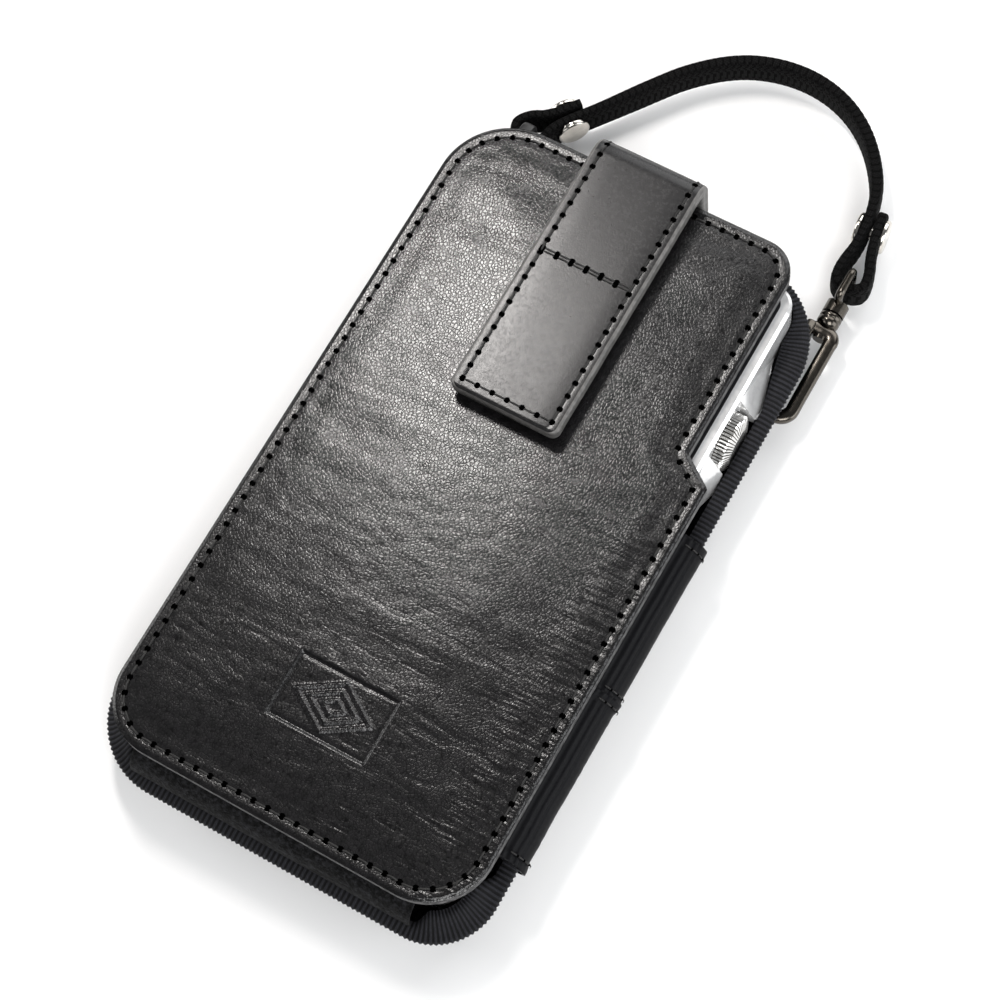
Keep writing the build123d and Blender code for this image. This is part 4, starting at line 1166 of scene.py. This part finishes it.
def build_wheel():
    """A lathe shape of (x, radius, tooth share), with teeth round its rim and bevel."""
    rings = []
    around = TEETH * TOOTH_POINTS
    profile = [(37.65, 2.0, 0), (37.65, 6.1, 0), (37.9, 6.45, 0.5), (38.3, 6.6, 1),
               (40.9, 6.6, 1), (41.25, 6.45, 1), (41.5, 6.05, 0.9), (41.95, 5.0, 0.55),
               (42.25, 4.3, 0.25), (42.3, 4.0, 0.0), (42.05, 3.6, 0), (42.0, 0.3, 0)]
    for x, r, tooth in profile:
        ring = []
        for k, a in enumerate(turn_angles(around)):
            valley = 1 - abs((k % TOOTH_POINTS) / TOOTH_POINTS - 0.5) * 2
            reach = r - TOOTH_DEPTH * tooth * valley
            ring.append((x, WHEEL_Y + reach * math.cos(a), WHEEL_Z + reach * math.sin(a)))
        rings.append(ring)
    faces = loft(rings)
    # Faces at the bottom of each tooth's groove get the dark metal: painted shade in the flutes.
    toothed = range(2, 8)
    kinds = []
    for face in faces:
        ring, place = divmod(min(face), around)
        kinds.append(1 if ring in toothed and place % TOOTH_POINTS in (2, 3) else 0)
    wheel = make("player_knurled_wheel", flat_list(rings), faces, KNURL, FLUTE_PAINTED_SHADE, body="volume_wheel",
                 smooth_shade=False, material_of=kinds)
    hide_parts("player_volume_wheel")


build_wheel()

# ---- snap hook: a cast loop with a barrel, its sprung gate and the swivelling eye ----
HOOK_X = 44.9
HOOK_Z = 6.2
ARM_X = 47.55
GATE_X = 41.9
FORK_Y = 73.5
paint(GUNMETAL, "snap_hook_eye", "snap_hook_gate_pin", "snap_hook_swivel_post")


def rounded_bar(name, route, body):
    """A cast bar along a route of (x, y, width, depth), with a rounded section in the hook's plane."""
    points = [Vector((x, y, HOOK_Z)) for x, y, _, _ in route]
    reach = np.concatenate(([0.0], np.cumsum([(b - a).length for a, b in zip(points, points[1:])])))
    line = resample(points, BAR_STEP)
    rings = []
    for i, p in enumerate(line):
        s = reach[-1] * i / (len(line) - 1)
        width = np.interp(s, reach, [stop[2] for stop in route])
        depth = np.interp(s, reach, [stop[3] for stop in route])
        along = heading(line, i)
        side = Vector((along.y, -along.x, 0))
        ring = []
        for a in turn_angles(BAR_SIDES):
            across = side * squared_off(math.cos(a), 0.72) * width / 2
            ring.append(p + across + Vector((0, 0, squared_off(math.sin(a), 0.72) * depth / 2)))
        rings.append(ring)
    return make(name, flat_list(rings), loft(rings), GUNMETAL, body=body)


def arc_route(cx, cy, r, start, end, width, depth, count=14):
    """Stops of a bar's route round an arc, between two angles in degrees."""
    out = []
    for k in range(count + 1):
        a = math.radians(start + (end - start) * k / count)
        out.append((cx + r * math.cos(a), cy + r * math.sin(a), width, depth))
    return out


def build_hook():
    bow = [(GATE_X, 60.4, 2.2, 2.2), (42.1, 57.0, 2.7, 2.4)]
    bow += arc_route(HOOK_X, 55.3, 2.7, 180, 360, 3.1, 2.5)
    bow += [(ARM_X, 58.0, 3.1, 2.5), (ARM_X, 72.0, 3.1, 2.5)]
    bow += arc_route(46.1, 72.9, 1.5, 0, 90, 3.2, 2.5, 8)
    bow += [(HOOK_X, 74.5, 3.4, 2.6), (43.0, 74.6, 3.2, 2.5), (41.8, 74.5, 2.6, 2.3)]
    hook = rounded_bar("snap_hook_cast_loop", bow, "root")
    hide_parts("snap_hook_body")

    rings = []
    for y, r in ((75.2, 1.4), (75.6, 2.0), (76.2, 2.35), (76.7, 2.5), (77.4, 2.5), (77.6, 2.3),
                 (77.8, 2.5), (78.5, 2.5), (78.8, 2.3), (78.8, 1.3)):
        rings.append([(HOOK_X + r * math.cos(a), y, HOOK_Z + r * math.sin(a)) for a in turn_angles(36)])
    barrel_faces = [tuple(reversed(face)) for face in loft(rings)]
    make("snap_hook_barrel", flat_list(rings), barrel_faces, GUNMETAL)

    for name, way in (("upper", 1), ("lower", -1)):
        rings = []
        for rise, grow in ((-0.34, -0.15), (-0.2, 0.0), (0.2, 0.0), (0.34, -0.15)):
            z = HOOK_Z + way * 1.15 + rise
            rings.append([(GATE_X + (1.15 + grow) * squared_off(math.cos(a), 0.6),
                           FORK_Y + (2.1 + grow) * squared_off(math.sin(a), 0.6), z)
                          for a in turn_angles(28)])
        make(f"snap_hook_fork_{name}", flat_list(rings), loft(rings), GUNMETAL)

    lever = [(GATE_X, 60.85, 1.7, 1.1), (GATE_X, 62.5, 1.9, 1.3), (GATE_X, 70.5, 2.0, 1.3),
             (GATE_X, 73.3, 1.9, 1.2)]
    gate = rounded_bar("snap_hook_gate_lever", lever, "hook_gate")
    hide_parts("snap_hook_gate")


build_hook()
